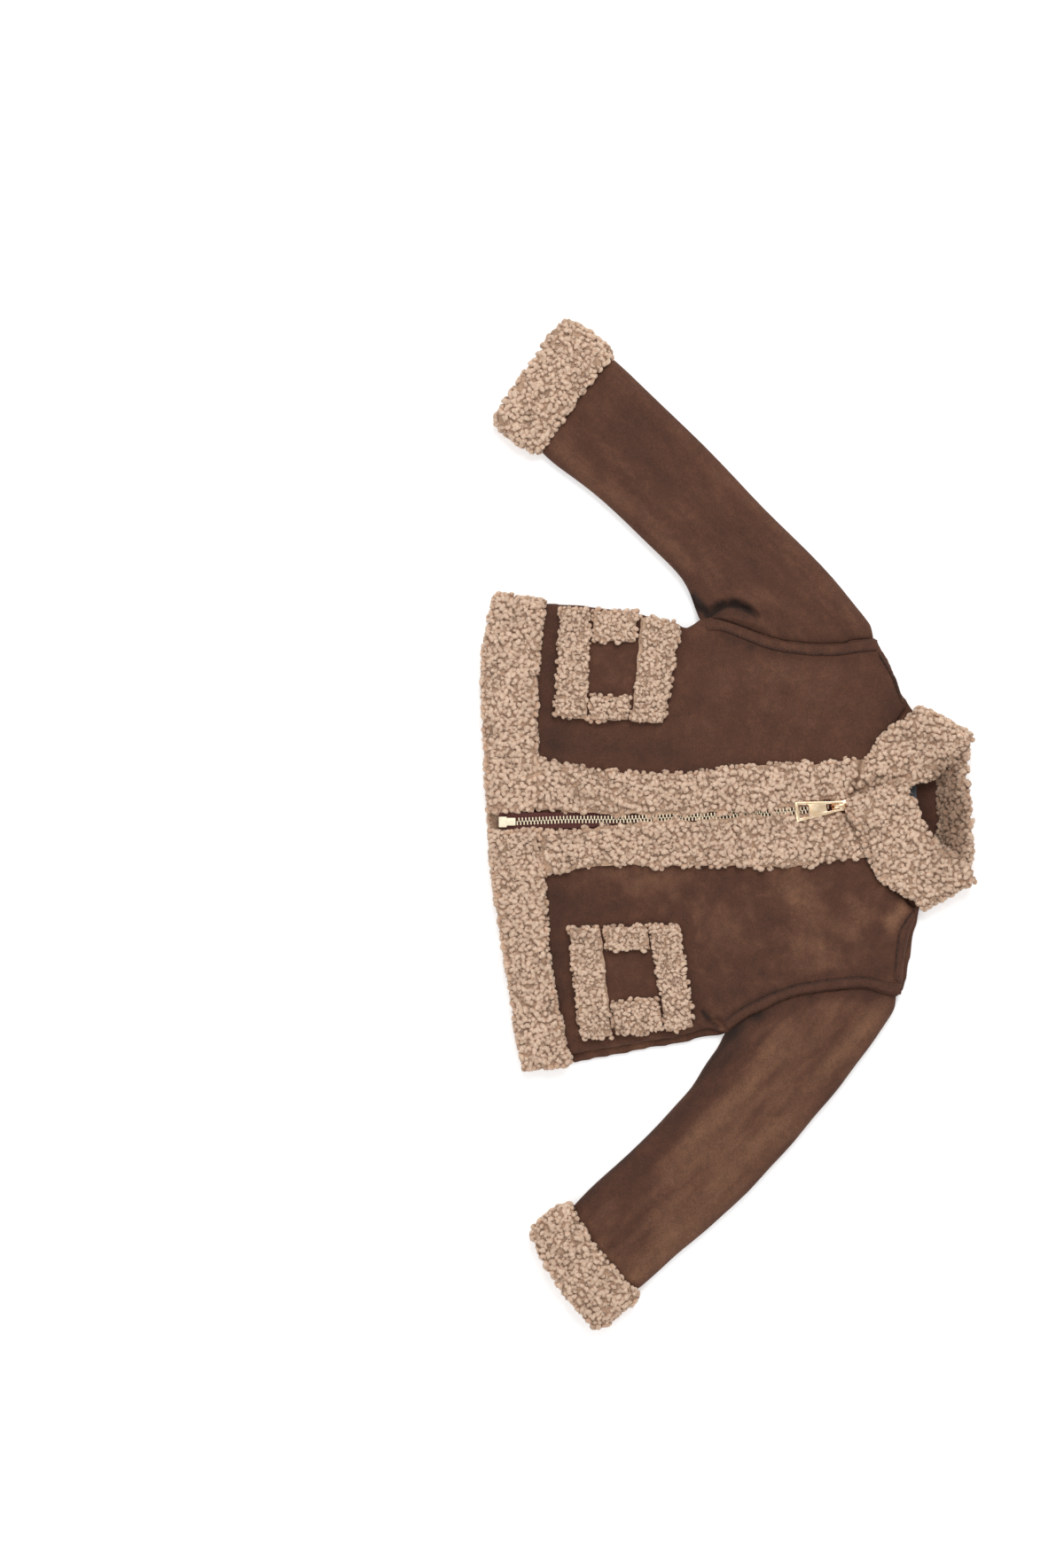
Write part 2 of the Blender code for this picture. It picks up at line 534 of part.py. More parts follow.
# The pull tab: a tapered plate with a slot near its wide end and a hole that its hinge bar closes.
tab = bpy.data.curves.new("zip_pull", "CURVE")
tab.dimensions = "2D"
tab.fill_mode = "BOTH"
tab.extrude = PULL_THICK / 2 * MM
for half_top, top_y, half_low, low_y, radius in PULL_OUTLINES:
    corners = [(-half_top, top_y), (half_top, top_y), (half_low, low_y), (-half_low, low_y)]
    outline = rounded(corners, radius)
    spline = tab.splines.new("POLY")
    spline.points.add(len(outline) - 1)
    for point, place in zip(spline.points, outline):
        point.co = (place.x * MM, place.y * MM, 0, 1)
    spline.use_cyclic_u = True
tab.materials.append(gold)
pull = bpy.data.objects.new("zip_pull", tab)
pull.location = Vector(PIVOT) * MM
pull.rotation_euler = (math.radians(PULL_DROP), 0, math.radians(PULL_TURN))
coat.objects.link(pull)

# Pockets: a suede patch with four strips of sherpa on it, the two long ones full height.
for side, strips in POCKETS.items():
    hem, collar = strips["hem"], strips["collar"]
    corners = np.array([hem[:2], collar[2:4], collar[4:6], hem[6:8]], dtype=float)
    centre = corners.mean(axis=0)
    inward = (centre - corners) / np.abs(centre - corners) * PATCH_INSET
    laid("pocket_patch_" + side, quad(corners + inward, 4, 4), TRIM, PATCH, 0.6, suede)
    for place, outline in strips.items():
        grid = quad(outline, 3, 3) if place in ("side", "centre") else quad(outline, 6, 3)
        laid(f"pocket_trim_{side}_{place}", grid, TRIM + PATCH + SEAM, PILE, 3.2, sherpa)

# Collar: one band of sherpa on both faces, folded flat at the sides of the neck, left end over right.
sections = [Vector((*row,)) for row in smooth_rows(RIGHT_WING, 2)]
sections += fold_rows(RIGHT_FOLD, -1)
sections += list(smooth_rows(BACK_WING, 2))
sections += fold_rows(LEFT_FOLD, 1)[::-1]
sections += list(smooth_rows(LEFT_WING, 2))
middles = [(Vector(row[:3]) + Vector(row[3:])) / 2 for row in map(list, sections)]
rings = []
for i, row in enumerate(map(list, sections)):
    heading = middles[min(i + 1, len(middles) - 1)] - middles[max(i - 1, 0)]
    rings.append(collar_section(row, heading))
loft("collar", rings, sherpa)

# Inside the neck: the facing over the back's neck seam, and a plain woven label on it.
facing_top = [(x, y - 1.2) for x, y in BACK_NECK[5:9]]
facing_low = [(x, 118.0) for x, _ in facing_top]
laid("neck_facing", patch(facing_low, facing_top, 4), FRONT, FACING, 0.4, suede, 1)
left, right, near, far = LABEL
grid = quad((left, near, left, far, right, far, right, near), 3, 2)
laid("neck_label", grid, FRONT + FACING + SEAM, LABEL_THICK, 0.2, label_cloth, 1)
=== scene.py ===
"""A toddler's zip-up shearling coat of bonded suede and sherpa, lying on its back on a pale surface.

X runs to the wearer's left, Y from the hem to the collar and Z up. Tables are in millimetres and
everything that Blender gets is in metres.
"""
import json
import math
from contextlib import contextmanager

import bmesh
import bpy
import numpy as np
from mathutils import Euler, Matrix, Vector, noise
from mathutils.bvhtree import BVHTree

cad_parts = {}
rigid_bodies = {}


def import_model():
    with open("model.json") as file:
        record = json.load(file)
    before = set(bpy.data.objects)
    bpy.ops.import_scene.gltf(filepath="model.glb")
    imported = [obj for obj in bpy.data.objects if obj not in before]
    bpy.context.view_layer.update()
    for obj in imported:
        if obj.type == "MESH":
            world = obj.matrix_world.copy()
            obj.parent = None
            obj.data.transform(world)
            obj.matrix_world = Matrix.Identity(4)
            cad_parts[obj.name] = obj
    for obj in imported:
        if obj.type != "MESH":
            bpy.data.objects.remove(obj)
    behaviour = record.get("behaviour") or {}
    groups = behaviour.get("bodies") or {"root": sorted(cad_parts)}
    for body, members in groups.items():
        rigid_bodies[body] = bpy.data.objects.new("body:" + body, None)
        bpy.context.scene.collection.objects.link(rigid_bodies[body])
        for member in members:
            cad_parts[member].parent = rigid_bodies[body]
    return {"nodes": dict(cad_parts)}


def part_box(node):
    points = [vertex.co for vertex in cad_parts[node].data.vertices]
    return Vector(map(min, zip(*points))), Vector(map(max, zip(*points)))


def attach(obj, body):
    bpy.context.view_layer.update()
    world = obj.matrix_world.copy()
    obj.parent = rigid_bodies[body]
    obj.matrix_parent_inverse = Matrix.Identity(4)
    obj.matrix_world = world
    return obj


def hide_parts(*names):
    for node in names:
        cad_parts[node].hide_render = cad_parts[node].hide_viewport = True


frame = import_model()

MM = 0.001
scene = bpy.context.scene
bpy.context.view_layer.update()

# ----------------------------------------
# Back: one panel of suede bonded to fleece, about 5 mm thick, that the rest of the coat lies on.
# It is cut in one piece from hem to neck and shows past the left front's side fold.


def settle(piece):
    """Bakes the modifiers of a piece into its mesh."""
    graph = bpy.context.evaluated_depsgraph_get()
    done = bpy.data.meshes.new_from_object(piece.evaluated_get(graph))
    piece.modifiers.clear()
    piece.data = done


def placed_in(name, data):
    """A new object in the scene."""
    thing = bpy.data.objects.new(name, data)
    scene.collection.objects.link(thing)
    return thing


@contextmanager
def mesh_of(piece):
    """The mesh of a piece, open for a change."""
    bm = bmesh.new()
    bm.from_mesh(piece.data)
    yield bm
    bm.to_mesh(piece.data)
    bm.free()


def traced(node, name, within=0.01):
    """A new piece with the mesh of a solid, merged within so many mm."""
    piece = placed_in(name, frame["nodes"][node].data.copy())
    piece.data.materials.clear()
    with mesh_of(piece) as bm:
        bmesh.ops.remove_doubles(bm, verts=bm.verts, dist=within * MM)
    return piece


# Where the cloth lies a little further out or in than its solid, as the hands left it: the place, how
# far it goes in x and y, and the radius of the place.
LIE = [
    # x, y, across, up, radius
    (-345, -118, -2.6, -3.2, 21), (-319, -140, -2.6, -3.2, 21), (-292, -161, -2.6, -3.2, 21),
    (-138, 104, -1.4, 3.0, 18), (-82, 121, -0.6, 2.6, 13), (-160, -104, -1.6, 0.0, 26),
    (-150, -62, -1.4, 0.0, 24), (62, 119, 0.6, 5.6, 12), (84, 122, 0.8, 1.2, 15), (108, 120, 1.0, 0.2, 15),
    (126, 116, 1.6, 1.6, 15), (152, 98, 1.3, 1.7, 24), (186, 71, 1.4, 1.8, 26), (221, 41, 1.4, 1.8, 26),
    (256, 12, 1.4, 1.8, 26), (291, -16, 1.6, 2.0, 26), (324, -46, 1.4, 1.6, 22), (160, -112, 2.4, 0.0, 26),
    (157, -74, 2.8, 0.0, 26), (150, -38, 2.4, 0.2, 18), (-21, 178, 0.0, -4.6, 24), (24, 178, -0.6, -3.4, 22),
    (56, 162, -2.4, -2.6, 15), (-125, 107, 0.4, -2.8, 7), (-92, 121, 1.3, -2.0, 9),
]


def laid_out(piece, spread):
    """Lays a piece as LIE says, with its rim spread by so many mm."""
    places, normals = points_of(piece)
    start = places[:, :2].copy()
    places[:, :2] += normals[:, :2] * spread
    for x, y, across, up, far in LIE:
        share = np.exp(-((start[:, 0] - x) ** 2 + (start[:, 1] - y) ** 2) / far ** 2)
        places[:, :2] += share[:, None] * (across, up)
    put_points(piece, places)


def cut_from(node, name, mesh_size, softening, spread=0.0):
    """A piece of cloth in the form of its solid, given an even mesh of mesh_size mm and softened."""
    piece = traced(node, name)
    even = piece.modifiers.new("even_mesh", "REMESH")
    even.mode = "VOXEL"
    even.voxel_size = mesh_size * MM
    soft = piece.modifiers.new("soften", "SMOOTH")
    soft.factor = 0.5
    soft.iterations = softening
    settle(piece)
    piece.data.shade_smooth()
    laid_out(piece, spread)
    return piece


def points_of(piece):
    """The places of a piece's vertices and their normals, in mm."""
    places = np.empty(len(piece.data.vertices) * 3)
    normals = np.empty(len(piece.data.vertices) * 3)
    piece.data.vertices.foreach_get("co", places)
    piece.data.vertices.foreach_get("normal", normals)
    return places.reshape(-1, 3) / MM, normals.reshape(-1, 3)


def put_points(piece, places):
    """Sets the places of a piece's vertices, in mm, none of them below the surface."""
    places[:, 2] = np.maximum(places[:, 2], 0.05)
    piece.data.vertices.foreach_set("co", (places * MM).ravel())
    piece.data.update()


def distances(points, x0, y0, x1, y1):
    """How far points lie, in plan, from the line between two places."""
    a, b = Vector((x0, y0)), Vector((x1, y1))
    far = []
    for point in points:
        from_a = Vector(point[:2]) - a
        share = min(1.0, max(0.0, from_a.dot(b - a) / (b - a).length_squared))
        far.append((from_a - (b - a) * share).length)
    return np.array(far)


def crease(piece, folds):
    """Presses soft folds into the upper face of a piece.

    Each row is the x and y of both ends, the half width, the depth (a ridge where it is negative), how far
    the fold bows sideways, and the height of the roll of cloth along the side it bows to.
    """
    with mesh_of(piece) as bm:
        for *line, wide, _, _, _ in folds:
            if wide < 4.5:
                far = distances([v.co / MM for v in bm.verts], *line)
                near = [v for v, away in zip(bm.verts, far) if away < 3 * wide and v.normal.z > 0]
                fine = {edge for v in near for edge in v.link_edges if edge.calc_length() > 1.1 * MM}
                bmesh.ops.subdivide_edges(bm, edges=list(fine), cuts=1, use_grid_fill=True)
    places, normals = points_of(piece)
    upper = np.clip(normals[:, 2] * 2, 0, 1)
    for x0, y0, x1, y1, wide, deep, bow, roll in folds:
        start = np.array((x0, y0))
        run = np.array((x1 - x0, y1 - y0))
        length = np.linalg.norm(run)
        run = run / length
        side = np.array((-run[1], run[0]))
        along = (places[:, :2] - start) @ run / length
        off = (places[:, :2] - start) @ side - bow * 4 * along * (1 - along)
        sway = 0.25 * wide * np.sin(along * 7.0 + x0)
        inside = np.sin(np.pi * np.clip(along, 0, 1)) ** 0.6
        trough = np.exp(-((off - sway) / wide) ** 2)
        bank = np.exp(-((off - sway - 2.0 * wide) / (1.3 * wide)) ** 2)
        places[:, 2] -= upper * inside * (deep * trough - roll * bank)
    put_points(piece, places)


def unevenness(piece, high, size, seed):
    """The slow rise and fall of cloth that isn't pressed flat: its height and size in mm."""
    places, normals = points_of(piece)
    shift = Vector((seed * 13.7, seed * 5.1, 0))
    lift = np.array([noise.noise(Vector(place) / size + shift) for place in places])
    places[:, 2] += np.clip(normals[:, 2], 0, 1) * lift * high
    put_points(piece, places)


def reach(piece, start, far):
    """Draws the neck edge of a piece, from y = start on, up to far mm further under the collar."""
    places, _ = points_of(piece)
    x, y, _ = places.T
    share = np.clip((y - start) / 9, 0, 1) * np.clip((38 - np.abs(x + 4)) / 8, 0, 1)
    y += far * share
    put_points(piece, places)


def keep(mesh, name, values):
    """Stores a number or a direction for each point of a mesh."""
    kind, slot = ("FLOAT", "value") if values.ndim == 1 else ("FLOAT_VECTOR", "vector")
    layer = mesh.attributes.new(name, kind, "POINT")
    layer.data.foreach_set(slot, values.astype(np.float32).ravel())


def paint_nap_and_light(piece, strokes, mottle=0.16, size=15.0, heading=0.0, drawn=1.0, seed=0):
    """Lays the nap lighter or darker and paints light and shade on it.

    Each stroke is the x and y of both ends, its half width and its strength, from -1 dark to 1 light: most
    strokes are painted shade in folds and creases and beside seams and edges, or painted highlights on
    raised places, and some are patches of nap. Under them is a mottle of the nap's own patches of size mm,
    drawn out that many times along heading, in degrees.
    """
    places, _ = points_of(piece)
    x, y, z = places.T
    turn = math.radians(heading)
    along = x * math.cos(turn) + y * math.sin(turn)
    across = y * math.cos(turn) - x * math.sin(turn)
    spots = map(Vector, np.column_stack((along / drawn, across, z)) / size + seed * 3.7)
    lay_and_painted_light = np.array([noise.noise(spot) + 0.6 * noise.noise(spot * 2.3) for spot in spots]) * mottle * 2
    for *line, wide, strength in strokes:
        away = distances(places, *line) / wide
        lay_and_painted_light += strength * np.exp(-away ** 2)
    # The attribute carries the nap's mottle and the painted light and shade together.
    keep(piece.data, "nap_and_painted_light", np.clip(0.5 + lay_and_painted_light / 2, 0, 1))


def sewn_on(piece, material, body="coat"):
    """Gives a piece its finish and lets it move with the coat."""
    piece.data.materials.append(material)
    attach(piece, body)
    return piece


def give(tree, node, *first, **named):
    """Sets a node's inputs, its first ones in order and others by name, or links them to a socket."""
    for key, value in (*enumerate(first), *named.items()):
        socket = node.inputs[key if isinstance(key, int) else key.replace("_", " ")]
        if isinstance(value, bpy.types.NodeSocket):
            tree.links.new(value, socket)
        else:
            socket.default_value = value
    return node


def node_of(tree, kind, *first, **named):
    """A new node with its inputs given."""
    return give(tree, tree.nodes.new(kind), *first, **named)


def new_material(name, roughness, sheen=0.0, sheen_tint=(1, 1, 1, 1), sheen_roughness=0.5):
    """A material, its node tree and its shader."""
    material = bpy.data.materials.new(name)
    material.use_nodes = True
    tree = material.node_tree
    shader = give(tree, tree.nodes["Principled BSDF"], Roughness=roughness, Sheen_Weight=sheen,
                  Sheen_Roughness=sheen_roughness, Sheen_Tint=sheen_tint)
    return material, tree, shader


def linear(*colour):
    """A colour of 0 to 255 as Blender keeps it."""
    return (*(c / 255 / 12.92 if c < 10.3 else ((c / 255 + 0.055) / 1.055) ** 2.4 for c in colour), 1)


def place_of(tree):
    """Where a point of the cloth lies on the coat."""
    return node_of(tree, "ShaderNodeTexCoord").outputs["Object"]


def stored(tree, name, output="Fac"):
    """What a piece keeps at its points under a name."""
    node = node_of(tree, "ShaderNodeAttribute")
    node.attribute_name = name
    return node.outputs[output]


def ramp_of(tree, source, *stops):
    """The colour on a ramp. Each stop is its position and its colour."""
    ramp = node_of(tree, "ShaderNodeValToRGB", source)
    for _ in stops[2:]:
        ramp.color_ramp.elements.new(0.5)
    for stop, (position, colour) in zip(ramp.color_ramp.elements, stops):
        stop.position = position
        stop.color = colour
    return ramp.outputs["Color"]


def clouded(tree, scale, detail, low, high, start, end, source, distortion=0.0):
    """Noise, and the colour between two that it gives from the value start to the value end."""
    noisy = node_of(tree, "ShaderNodeTexNoise", Vector=source, Scale=scale, Detail=detail,
                    Distortion=distortion)
    return noisy, ramp_of(tree, noisy.outputs["Fac"], (start, low), (end, high))


def mixed(tree, kind, factor, first, second):
    """Two colours mixed."""
    mix = tree.nodes.new("ShaderNodeMix")
    mix.data_type = "RGBA"
    mix.blend_type = kind
    # The inputs for colours come seventh and eighth, after the ones for numbers and places.
    for socket, value in ((0, factor), (6, first), (7, second)):
        if isinstance(value, bpy.types.NodeSocket):
            tree.links.new(value, mix.inputs[socket])
        else:
            mix.inputs[socket].default_value = value
    return mix.outputs[2]


def raised(tree, target, height, strength, distance, inward=False):
    """Raises the surface by a height, up to distance mm, under the normal of the target."""
    bump = node_of(tree, "ShaderNodeBump", Strength=strength, Distance=distance * MM, Height=height)
    bump.invert = inward
    give(tree, target, Normal=bump.outputs["Normal"])
    return bump


def grey(value):
    """A plain shade."""
    return (value, value, value, 1)


def suede_finish(name, dark, middle, light):
    """Bonded suede: a short nap, darker or lighter by the nap attribute, which also carries painted shade
    and painted highlights, with a fine grain and pale fibres.
    """
    material, tree, shader = new_material(name, 0.95, 0.25, linear(170, 125, 94), 0.3)
    place = place_of(tree)
    # The ramp's dark end is painted shade in folds and beside seams, its light end painted highlight.
    lay_and_painted_light = ramp_of(tree, stored(tree, "nap_and_painted_light"), (0, dark), (0.5, middle), (1, light))
    _, streak = clouded(tree, 150, 6, grey(0.86), (1.14, 1.13, 1.12, 1), 0.34, 0.66, place, 1.2)
    grain, speck = clouded(tree, 900, 3, grey(0.66), grey(1.32), 0.28, 0.72, place)
    streaked = mixed(tree, "MULTIPLY", 0.8, lay_and_painted_light, streak)
    give(tree, shader, Base_Color=mixed(tree, "MULTIPLY", 0.7, streaked, speck))
    raised(tree, shader, grain.outputs["Fac"], 0.4, 0.25)
    return material


# The darkest colour is painted shade in creases and beside seams, the lightest painted highlight.
suede = suede_finish("suede", linear(38, 21, 13), linear(80, 48, 33), linear(125, 88, 65))

back = cut_from("back", "back_panel", 2.4, 6, 1.0)
unevenness(back, 0.8, 60, 1)
reach(back, 132.0, 6.0)
# A painted highlight along the back's side edge.
paint_nap_and_light(back, [(158, -130, 152, -40, 3, 0.2)], seed=1)
sewn_on(back, suede)
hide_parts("back")

# ----------------------------------------
# Two fronts of the same suede, lying on the back. They meet under the zip, and their side folds
# and armholes give way in soft folds beside the sleeves.
FRONT_FOLDS = {
    # x0, y0, x1, y1, wide, deep, bow, roll
    "right": [
        (-146, -24, -112, -2, 6.0, 1.3, 4.0, 0.8),
        (-150, -34, -118, -30, 5.0, 1.0, -3.0, 0.7),
        (-120, 40, -70, 58, 11.0, 0.9, 5.0, 0.4),
        (-60, -60, -52, 30, 12.0, 0.6, 5.0, 0.3),
    ],
    "left": [
        (136, -17, 142, -3, 2.6, 3.6, 1.5, 1.2),
        (128, -28, 138, -12, 4.0, 1.5, 2.0, 1.0),
        (118, -6, 92, 26, 8.0, 1.3, 4.0, 0.8),
        (104, -26, 76, 14, 9.0, 1.2, -5.0, 0.7),
        (60, -44, 44, 60, 12.0, 1.0, 6.0, 0.5),
        (86, 60, 60, 92, 7.0, 1.3, -3.0, 0.7),
        (140, -60, 146, -24, 5.0, 0.9, 2.0, 0.5),
    ],
}
# Painted shade beside the seams, the bands and in the creases, painted highlights on raised folds, and some
# lighter and darker patches of nap.
FRONT_NAP_AND_LIGHT = {
    # x0, y0, x1, y1, wide, strength
    "right": [
        (-150, -129, -40, -124, 9, -0.30), (-57, -120, -50, -40, 9, -0.28), (-40, -30, -36, 50, 7, -0.20),
        (-66, 110, -84, 118, 12, -0.35), (-112, 0, -100, 60, 20, 0.12), (-128, -24, -118, 10, 8, -0.12),
        (-133, -4, -125, 14, 3.5, -0.35), (-125, 14, -118, 40, 3.5, -0.30), (-118, 40, -116, 90, 3.0, -0.15),
    ],
    "left": [
        (44, -124, 140, -120, 8, -0.35), (56, -112, 52, -60, 9, -0.25), (100, -34, 122, -24, 7, -0.35),
        (40, 40, 56, 56, 11, 0.30), (84, 52, 94, 66, 10, 0.26), (83, 4, 70, -14, 10, 0.26),
        (74, 84, 62, 92, 9, 0.26), (59, 121, 68, 112, 5, 0.85), (60, 26, 66, 34, 6, -0.30),
        (58, 76, 52, 66, 6, -0.22), (36, -96, 40, -60, 8, 0.16), (120, -4, 104, 22, 7, -0.22),
        (28, -66, 36, -40, 9, 0.30), (46, -68, 52, -58, 8, 0.26), (22, 18, 30, 36, 10, 0.22),
        (52, 48, 62, 62, 10, 0.20), (96, 40, 60, 84, 14, 0.10),
        (134, 2, 116, 32, 3.5, -0.55), (131, -19, 141, -9, 2.0, -0.9), (135, -13, 143, -6, 1.8, 0.5),
        (112, 40, 104, 70, 3.0, -0.2), (104, 70, 103, 108, 3.0, -0.2),
    ],
}
fronts = {}
for side, size, area, seed, mottle, patch_size in (
    ("right", (0.152, 0.262), 0.0328, 2, 0.08, 12),
    ("left", (0.158, 0.262), 0.0345, 3, 0.12, 9),
):
    front = cut_from("front_" + side, f"front_{side}_panel", 2.1, 5, 0.8)
    unevenness(front, 1.1, 46, seed)
    crease(front, FRONT_FOLDS[side])
    paint_nap_and_light(front, FRONT_NAP_AND_LIGHT[side], mottle, patch_size, seed=2)
    sewn_on(front, suede)
    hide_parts("front_" + side)
    fronts[side] = front

# ----------------------------------------
# Inside the neck: a facing of the suede over the neck seam, and a woven label, left blank, that
# is stitched to it at both ends.
facing = cut_from("neck_facing", "neck_facing_strip", 0.7, 1)
reach(facing, 132.0, 6.0)
# The facing is laid darker: painted shade inside the neck, under the collar.
paint_nap_and_light(facing, [(-20, 128, 20, 128, 20, -0.3)])
sewn_on(facing, suede)
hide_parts("neck_facing")


WAVE_PITCH = 0.3142  # A wave of scale 1 repeats after this many metres.


def woven(name, warp, weft, pitch, slant):
    """A close weave: two sets of threads at a pitch in mm, turned by slant degrees."""
    material, tree, shader = new_material(name, 0.8, 0.2, linear(150, 120, 110))
    turn = node_of(tree, "ShaderNodeMapping", Vector=place_of(tree), Rotation=(0, 0, math.radians(slant)))
    heights = []
    for direction in ("X", "Y"):
        threads = node_of(tree, "ShaderNodeTexWave", Vector=turn.outputs["Vector"],
                          Scale=WAVE_PITCH / (pitch * MM), Distortion=0.6)
        threads.bands_direction = direction
        heights.append(threads.outputs["Fac"])
    relief = node_of(tree, "ShaderNodeMath", *heights)
    relief.operation = "MULTIPLY"
    raised(tree, shader, relief.outputs["Value"], 0.6, 0.12)
    give(tree, shader, Base_Color=mixed(tree, "MIX", heights[0], warp, weft))
    return material


label_weave = woven("label_weave", linear(70, 73, 80), linear(92, 95, 101), 0.45, 6)
label = cut_from("neck_label", "neck_label_woven", 0.3, 1)
sewn_on(label, label_weave)
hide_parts("neck_label")

# ----------------------------------------
# Sleeves: each one panel of the suede closed into a tube along its underarm seam, lying flat in
# two layers. Their caps are eased into the armholes, so they stand full beside the seam.
SLEEVE_FOLDS = {
    # x0, y0, x1, y1, wide, deep, bow, roll
    "right": [
        (-146, -16, -139, 26, 2.6, -2.6, 1.0, 0.0),
        (-147, -20, -146, 21, 2.4, 7.0, 8.0, 1.0),
        (-162, -28, -148, -16, 2.4, 5.0, -1.0, 0.6),
        (-150, 26, -140, 40, 4.5, 1.8, 1.5, 0.6),
        (-176, -22, -164, 20, 8.0, 1.3, -5.0, 0.8),
        (-206, -60, -188, 10, 12.0, 1.1, 6.0, 0.6),
        (-282, -116, -226, -60, 11.0, 1.1, -5.0, 0.6),
        (-250, -66, -214, -24, 10.0, 0.9, 5.0, 0.5),
        (-190, 34, -150, 62, 9.0, 0.9, 4.0, 0.5),
    ],
    "left": [
        (148, -2, 160, -20, 3.6, 2.4, 1.5, 1.0),
        (152, 14, 178, -18, 8.0, 1.3, 4.0, 0.8),
        (176, 22, 224, -14, 12.0, 1.2, -6.0, 0.7),
        (214, -22, 262, -62, 11.0, 1.2, 5.0, 0.7),
        (246, -78, 292, -96, 10.0, 1.1, -4.0, 0.6),
        (134, 56, 170, 34, 9.0, 1.0, 4.0, 0.5),
    ],
}
# Painted shade in the armpit crease, beside the armhole strips and along the sleeves' inner edges, and
# painted highlights along their middles.
SLEEVE_NAP_AND_LIGHT = {
    # x0, y0, x1, y1, wide, strength
    "right": [
        (-258, -120, -186, -36, 9, 0.16), (-320, -82, -150, 84, 7, 0.14), (-288, -66, -238, -46, 12, -0.20),
        (-210, 0, -186, 22, 13, -0.14), (-150, 60, -160, 20, 10, 0.12), (-160, -26, -149, -16, 2.4, -1.0),
        (-158, -27, -152, -23, 3.0, -0.8), (-148, -15, -154, -6, 2.2, -0.8), (-154, -6, -155, 3, 2.8, -1.0),
        (-155, 3, -151, 12, 2.8, -0.9), (-151, 12, -147, 18, 2.4, -0.7), (-149, -12, -148, 10, 5.0, -0.35),
        (-134, 22, -127, 40, 3.0, -0.25), (-128, 40, -129, 96, 3.0, -0.2),
    ],
    "left": [
        (150, 40, 300, -84, 60, 0.22), (146, -2, 262, -102, 9, -0.55), (153, 6, 261, -74, 9, -0.45),
        (212, -60, 236, -76, 7, -0.35), (136, 98, 316, -66, 9, 0.36), (146, 40, 250, -38, 11, 0.30),
        (196, -6, 236, -46, 7, 0.26), (256, -44, 292, -80, 6, -0.34), (160, 64, 200, 34, 7, -0.16),
        (274, -112, 318, -84, 12, 0.40), (146, -2, 134, 20, 5, -0.5), (134, 20, 121, 56, 5, -0.5),
        (120, 58, 118, 104, 4, -0.4),
    ],
}


def tube_from(node, name, cell, spread=0.0):
    """A tube or folded band in the form of its solid, hollow as it is, with cells of about cell mm."""
    piece = traced(node, name)
    with mesh_of(piece) as bm:
        bmesh.ops.join_triangles(bm, faces=bm.faces, angle_face_threshold=math.radians(60),
                                 angle_shape_threshold=math.pi)
    rounded = piece.modifiers.new("rounded", "SUBSURF")
    rounded.levels = rounded.render_levels = 1
    settle(piece)
    for _ in range(3):
        with mesh_of(piece) as bm:
            long = [edge for edge in bm.edges if edge.calc_length() > cell * 1.5 * MM]
            bmesh.ops.subdivide_edges(bm, edges=long, cuts=1, smooth=0.0, use_grid_fill=True)
    soft = piece.modifiers.new("soften", "SMOOTH")
    soft.factor = 0.5
    soft.iterations = 3
    settle(piece)
    piece.data.shade_smooth()
    laid_out(piece, spread)
    return piece


sleeves = {}
for side, size, area, spread, seed, mottle, heading in (
    ("right", (0.212, 0.206), 0.0352, 1.4, 4, 0.12, 45),
    ("left", (0.216, 0.210), 0.0375, 0.4, 5, 0.15, -45),
):
    sleeve = tube_from("sleeve_" + side, f"sleeve_{side}_panel", 2.0, spread)
    unevenness(sleeve, 1.3, 44, seed)
    crease(sleeve, SLEEVE_FOLDS[side])
    paint_nap_and_light(sleeve, SLEEVE_NAP_AND_LIGHT[side], mottle, 9, heading, 3.5, 3)
    sewn_on(sleeve, suede)
    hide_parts("sleeve_" + side)
    sleeves[side] = sleeve


def surface_of(piece):
    """The surface of a piece, to look for places on it."""
    return BVHTree.FromObject(piece, bpy.context.evaluated_depsgraph_get())


def draw_together(piece, neighbour, gap, ease):
    """Eases the edge of a piece over the gap to the one it is sewn to. The pull dies out over ease mm."""
    surface = surface_of(neighbour)
    places, _ = points_of(piece)
    for i, place in enumerate(places):
        nearest, _, _, away = surface.find_nearest(Vector(place) * MM, (gap + ease) * MM)
        if nearest is None or away < 0.05 * MM:
            continue
        pull = (gap + 0.15) * min(1.0, 1 - (away / MM - gap) / ease)
        places[i] += np.array((nearest / MM - Vector(place)).normalized()) * min(pull, away / MM + 0.3)
    put_points(piece, places)


# The armhole seams draw the sleeves against the fronts and the back.
for side in ("right", "left"):
    for panel in (back, fronts[side]):
        draw_together(sleeves[side], panel, 2.0, 7.0)
        draw_together(panel, sleeves[side], 0.4, 2.5)

# ----------------------------------------
# Felled seams at the armholes and shoulders: the seam allowances are turned to the body side and
# stitched down, so they stand up as a strip with a line of stitches along its inner edge.
seam_suede = suede_finish("seam_suede", linear(34, 19, 13), linear(78, 47, 33), linear(116, 77, 52))
thread, thread_tree, thread_shader = new_material("seam_thread", 0.8, 0.1, linear(120, 90, 70))
_, twist = clouded(thread_tree, 2600, 1, linear(44, 27, 19), linear(70, 46, 34), 0.35, 0.65,
                   place_of(thread_tree))
give(thread_tree, thread_shader, Base_Color=twist)


def in_metres(bm, name):
    """The smooth mesh of a bmesh that was shaped in mm."""
    bmesh.ops.scale(bm, verts=bm.verts, vec=(MM, MM, MM))
    mesh = bpy.data.meshes.new(name)
    bm.to_mesh(mesh)
    bm.free()
    mesh.shade_smooth()
    return mesh


def plumb(surface, x, y):
    """Where a plumb line at x and y, in mm, meets a surface."""
    return surface.ray_cast(Vector((x, y, 60)) * MM, Vector((0, 0, -1)))[0]


